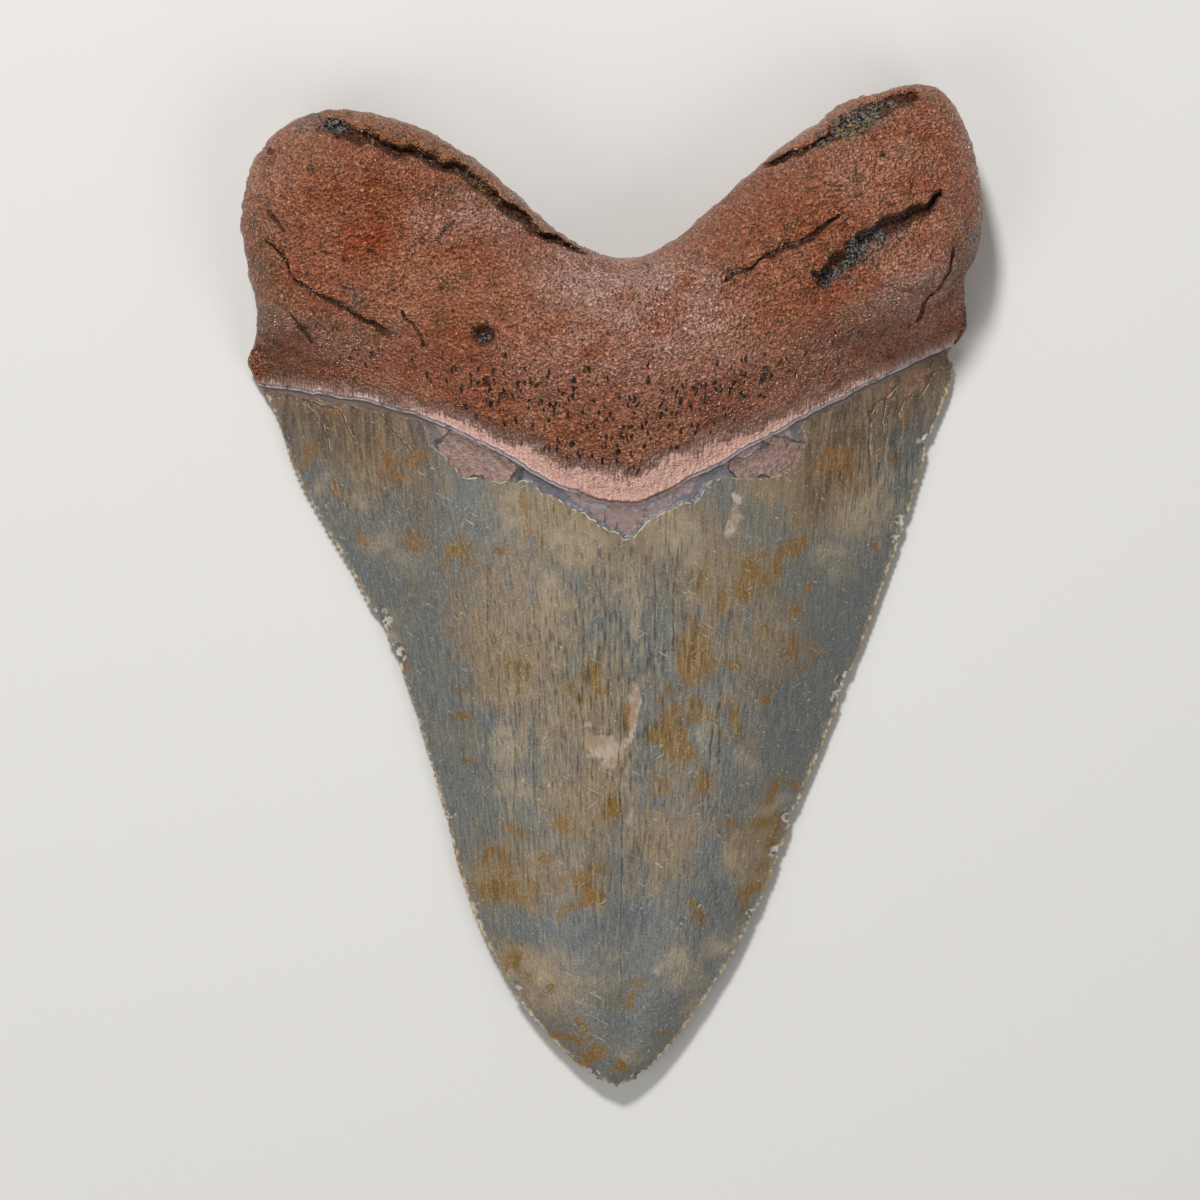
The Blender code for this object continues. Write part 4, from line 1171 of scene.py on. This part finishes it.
def bourlette_look(r):
    """The band between the root and the enamel: its skin, with crackle and two bare ovals."""
    mottle = r.noise(0.8, 3.0, seed=15, roughness=0.6)
    bare = r.ramp(r.field("bare"), 0.44, 0.47)
    pitted = r.blend(r.ramp(mottle, 0.38, 0.66), srgb(134, 106, 98), srgb(160, 132, 122))
    colour = r.blend(bare, bourlette_skin(r, mottle), pitted)
    outline = r.line(r.field("bare"), 0.43, 0.015, 0.03)
    colour = r.shaded(colour, r.times(outline, 0.9), 0.25)
    crackle = r.ramp(r.cell_pattern("DISTANCE_TO_EDGE", 2.1, (0.8, 2.4, 1.0), 20), 0.045, 0.0)
    crackle = r.times(crackle, r.ramp(r.noise(2.4, 1.0, seed=21), 0.5, 0.58), r.without(bare))
    return r.shaded(colour, crackle, 0.45), 0.42, r.times(mottle, r.scaled(bare, 0.45, 0.25))


# The enamel's looks


def enamel_tones(r):
    """The patterns that the looks of the enamel share."""
    return SimpleNamespace(
        blotches=r.noise(2.4, 4.0, (0.8, 1.3, 1.0), seed=31, roughness=0.7),
        mottle=r.noise(0.7, 2.0, seed=32, roughness=0.7),
        striated=r.scaled(r.field("striated"), 0.8, 0.2),
        fine_lines=r.noise(0.42, 1.0, (1.0, 80.0, 1.0), seed=33, roughness=0.6),
        broad_lines=r.noise(1.3, 2.0, (1.0, 30.0, 1.0), seed=34, roughness=0.6),
    )


def enamel_stains(r, tone):
    """Tan and slate, with pale and ochre marks, and a darker streaky brown towards the ridge on the flanks.
    """
    patchy = r.noise(8.0, 4.0, seed=30, roughness=0.6)
    streaky = r.noise(1.6, 1.0, (0.8, 14.0, 1.0), seed=29, roughness=0.5)
    warm = r.plus(r.field("warm"), (patchy, 0.9), (streaky, 0.6))
    colour = r.blend(r.ramp(warm, 0.05, 0.75), srgb(97, 100, 96), srgb(127, 108, 82))
    dark = r.ramp(r.plus(r.noise(5.0, 3.0, seed=35, roughness=0.6), (tone.blotches, 0.3)), 0.52, 0.68)
    colour = r.tinted(colour, dark, 0.45, 104, 90, 68)
    slate = r.plus(r.field("slate"), (tone.blotches, 0.9), (streaky, 0.4))
    colour = r.tinted(colour, r.ramp(slate, 0.15, 0.85), 0.85, 92, 97, 97)
    pale = r.plus(r.field("pale"), (tone.blotches, 0.9), (tone.broad_lines, 0.5))
    colour = r.tinted(colour, r.ramp(pale, 0.0, 1.2), 0.68, 166, 148, 121)
    by_ridge = r.times(r.ramp(r.field("above_enamel"), -14.0, -2.0), r.field("flank"))
    brown_by_ridge = r.blend(r.ramp(tone.broad_lines, 0.4, 0.6), srgb(70, 50, 34), srgb(116, 90, 64))
    colour = r.blend(r.times(by_ridge, 0.75), colour, brown_by_ridge)
    ochre = r.plus(r.field("ochre"), (tone.blotches, 0.9), (tone.mottle, 0.35))
    ochre = r.times(r.ramp(ochre, 0.02, 0.68), r.scaled(r.field("flank"), -0.2, 0.95))
    return r.blend(ochre, colour, r.blend(r.field("flank"), srgb(118, 85, 18), srgb(128, 86, 32)))


def scratched(r, tone, colour):
    """With lines along the crown, a sandy grain, scratches and dust."""
    colour = r.shaded(colour, r.times(r.ramp(tone.broad_lines, 0.52, 0.66), tone.striated), 0.87)
    colour = r.shaded(colour, r.times(r.ramp(tone.fine_lines, 0.57, 0.68), tone.striated), 0.42)
    light_lines = r.times(r.ramp(tone.fine_lines, 0.46, 0.36), tone.striated)
    colour = r.tinted(colour, light_lines, 0.4, 168, 152, 124)
    sand = r.noise(0.3, 1.0, seed=28, roughness=0.7)
    colour = r.shaded(colour, r.ramp(sand, 0.5, 0.34), 0.84)
    colour = r.tinted(colour, r.ramp(sand, 0.56, 0.74), 0.22, 196, 188, 168)
    scratches = r.calc("MAXIMUM", r.strokes(28, 0.24, 20.0, 36), r.strokes(-38, 0.2, 14.0, 37))
    colour = r.tinted(colour, scratches, 0.38, 206, 200, 184)
    return r.tinted(colour, r.pores(0.8, 0.3, 0.24, seed=39), 0.6, 204, 186, 144)


def worn(r, tone, colour):
    """With flake scars that show pale bone, and worn places that show red."""
    scar = r.ramp(r.plus(r.field("scar"), (tone.mottle, 0.4), (tone.blotches, 0.6)), 0.3, 0.6)
    scar_colour = r.blend(r.ramp(tone.blotches, 0.42, 0.6), srgb(158, 128, 100), srgb(186, 172, 158))
    colour = r.blend(r.times(scar, 0.75), colour, scar_colour)
    bared = r.ramp(r.plus(r.field("worn"), (tone.mottle, 0.4)), 0.3, 0.6)
    bared_colour = r.blend(r.ramp(tone.mottle, 0.4, 0.6), srgb(112, 72, 56), srgb(146, 108, 90))
    return r.blend(r.times(bared, 0.75), colour, bared_colour)


def cracked(r, tone, colour):
    """With dark cracks that have a cream lip, and beaded seams."""
    crack = r.field("crack")
    cream = r.times(r.line(crack, -0.2, 0.02, 0.12), r.ramp(tone.mottle, 0.46, 0.56))
    colour = r.tinted(colour, cream, 0.5, 200, 180, 144)
    beads = r.ramp(r.noise(0.6, 1.0, (1.0, 1.6, 1.0), seed=41), 0.4, 0.55)
    seam = r.times(r.line(r.field("seam"), 0, 0.04, 0.14), r.scaled(beads, 0.45, 0.2))
    split = r.calc("MAXIMUM", r.times(r.line(crack, 0, 0.02, 0.12), 0.7), seam)
    return r.blend(split, colour, srgb(48, 36, 28))


def chipped(r, tone, colour):
    """With facets in the chips, and a tan and cream rim on the cutting edges."""
    chip = r.ramp(r.plus(r.field("chip"), (tone.mottle, 0.5)), 0.25, 0.6)
    facets = r.blend(r.ramp(r.noise(0.9, 1.0, seed=42), 0.42, 0.6), srgb(88, 84, 80), srgb(188, 180, 166))
    colour = r.blend(r.times(chip, 0.85), colour, facets)
    rim = r.plus(r.field("edge"), (r.noise(0.8, 2.0, seed=43), 1.3))
    rim_share = r.ramp(r.noise(1.1, 1.0, seed=44), 0.42, 0.6)
    rim_colour = r.blend(rim_share, srgb(140, 108, 66), srgb(206, 188, 152))
    return r.blend(r.times(r.ramp(rim, 0.75, 0.15), 0.8), colour, rim_colour)


def enamel_look(r):
    """The crown's enamel: its stains, and all that has happened to it since."""
    tone = enamel_tones(r)
    colour = enamel_stains(r, tone)
    for harmed in (scratched, worn, cracked, chipped):
        colour = harmed(r, tone, colour)
    height = r.calc("ADD", r.times(tone.fine_lines, tone.striated, -0.16), r.times(tone.mottle, 0.12))
    return colour, r.scaled(tone.mottle, 0.25, 0.26), height


# The three materials


def finished(r, colour, roughness, height):
    """The recipe's material, with these looks on its shader."""
    bump = r.step("ShaderNodeBump", {}, {"Height": height, "Distance": MM, "Strength": 1.0}, 0)
    looks = {"Base Color": colour, "Roughness": roughness, "Specular IOR Level": 0.6, "Normal": bump}
    for name, value in looks.items():
        r.put(r.shader.inputs[name], value)
    return r.material


def root_material():
    r = Recipe("tooth_root")
    return finished(r, *root_look(r))


def enamel_material():
    r = Recipe("tooth_enamel")
    return finished(r, *enamel_look(r))


def neck_material():
    """Where the other two meet: both, with the bourlette and the ridge between them."""
    r = Recipe("tooth_neck")
    root, band, enamel = root_look(r), bourlette_look(r), enamel_look(r)
    above = r.field("above_enamel")
    below = r.plus(r.field("below_rim"), (r.noise(0.5, 2.0, seed=50), 0.3))
    on_enamel, on_root = r.ramp(above, 0.05, -0.05), r.ramp(below, 0.22, -0.22)
    colour = r.blend(on_root, r.blend(on_enamel, band[0], enamel[0]), root[0])
    roughness, height = (
        r.either(on_root, r.either(on_enamel, band[k], enamel[k]), root[k]) for k in (1, 2)
    )
    # The pale line along the ridge: partly its own pale colour, partly a painted highlight
    ridge = r.times(r.line(below, 0, 0.16, 0.25), r.ramp(r.noise(1.1, 2.0, seed=51), 0.3, 0.5))
    colour = r.tinted(colour, r.times(ridge, r.field("side")), 0.85, 218, 196, 198)
    cream = r.times(r.line(above, -0.06, 0.04, 0.1), r.without(r.field("flank")))
    cream = r.times(cream, r.ramp(r.noise(0.9, 1.0, seed=52), 0.4, 0.56))
    colour = r.tinted(colour, cream, 0.8, 214, 200, 168)
    return finished(r, colour, roughness, height)


# The stage


def flat_material(name, colour, roughness):
    material = bpy.data.materials.new(name)
    material.use_nodes = True
    shader = material.node_tree.nodes["Principled BSDF"]
    shader.inputs["Base Color"].default_value = colour
    shader.inputs["Roughness"].default_value = roughness
    return material


def add_floor():
    built = bmesh.new()
    bmesh.ops.create_grid(built, x_segments=1, y_segments=1, size=FLOOR_HALF_SIZE)
    mesh = bpy.data.meshes.new("floor")
    built.to_mesh(mesh)
    built.free()
    mesh.materials.append(flat_material("floor_paper", srgb(214, 212, 208), 0.9))
    placed("floor", mesh)


def add_light(name, place, size, power):
    light = bpy.data.lights.new(name, "AREA")
    light.shape = "DISK"
    light.size = size
    light.energy = power
    lamp = placed(name, light)
    lamp.location = place
    lamp.rotation_euler = Vector(place).to_track_quat("Z", "Y").to_euler()


def add_lights():
    for name, (place, size, power) in LIGHTS.items():
        add_light(name, place, size, power)
    world = bpy.data.worlds.new("studio")
    world.use_nodes = True
    background = world.node_tree.nodes["Background"]
    background.inputs["Color"].default_value = SKY_COLOUR
    background.inputs["Strength"].default_value = SKY_STRENGTH
    bpy.context.scene.world = world
    bpy.context.scene.view_settings.view_transform = "Standard"


def add_camera():
    data = bpy.data.cameras.new("camera")
    data.sensor_width = SENSOR
    data.lens = SENSOR * CAMERA_DISTANCE / FRAME_WIDTH
    camera = placed("camera", data)
    camera.location = (FRAME_CENTRE[0] * MM, FRAME_CENTRE[1] * MM, CAMERA_DISTANCE * MM)
    bpy.context.scene.camera = camera


def dress_tooth():
    tooth = tooth_object()
    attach(tooth, "root")
    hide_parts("tooth")


dress_tooth()
add_floor()
add_lights()
add_camera()
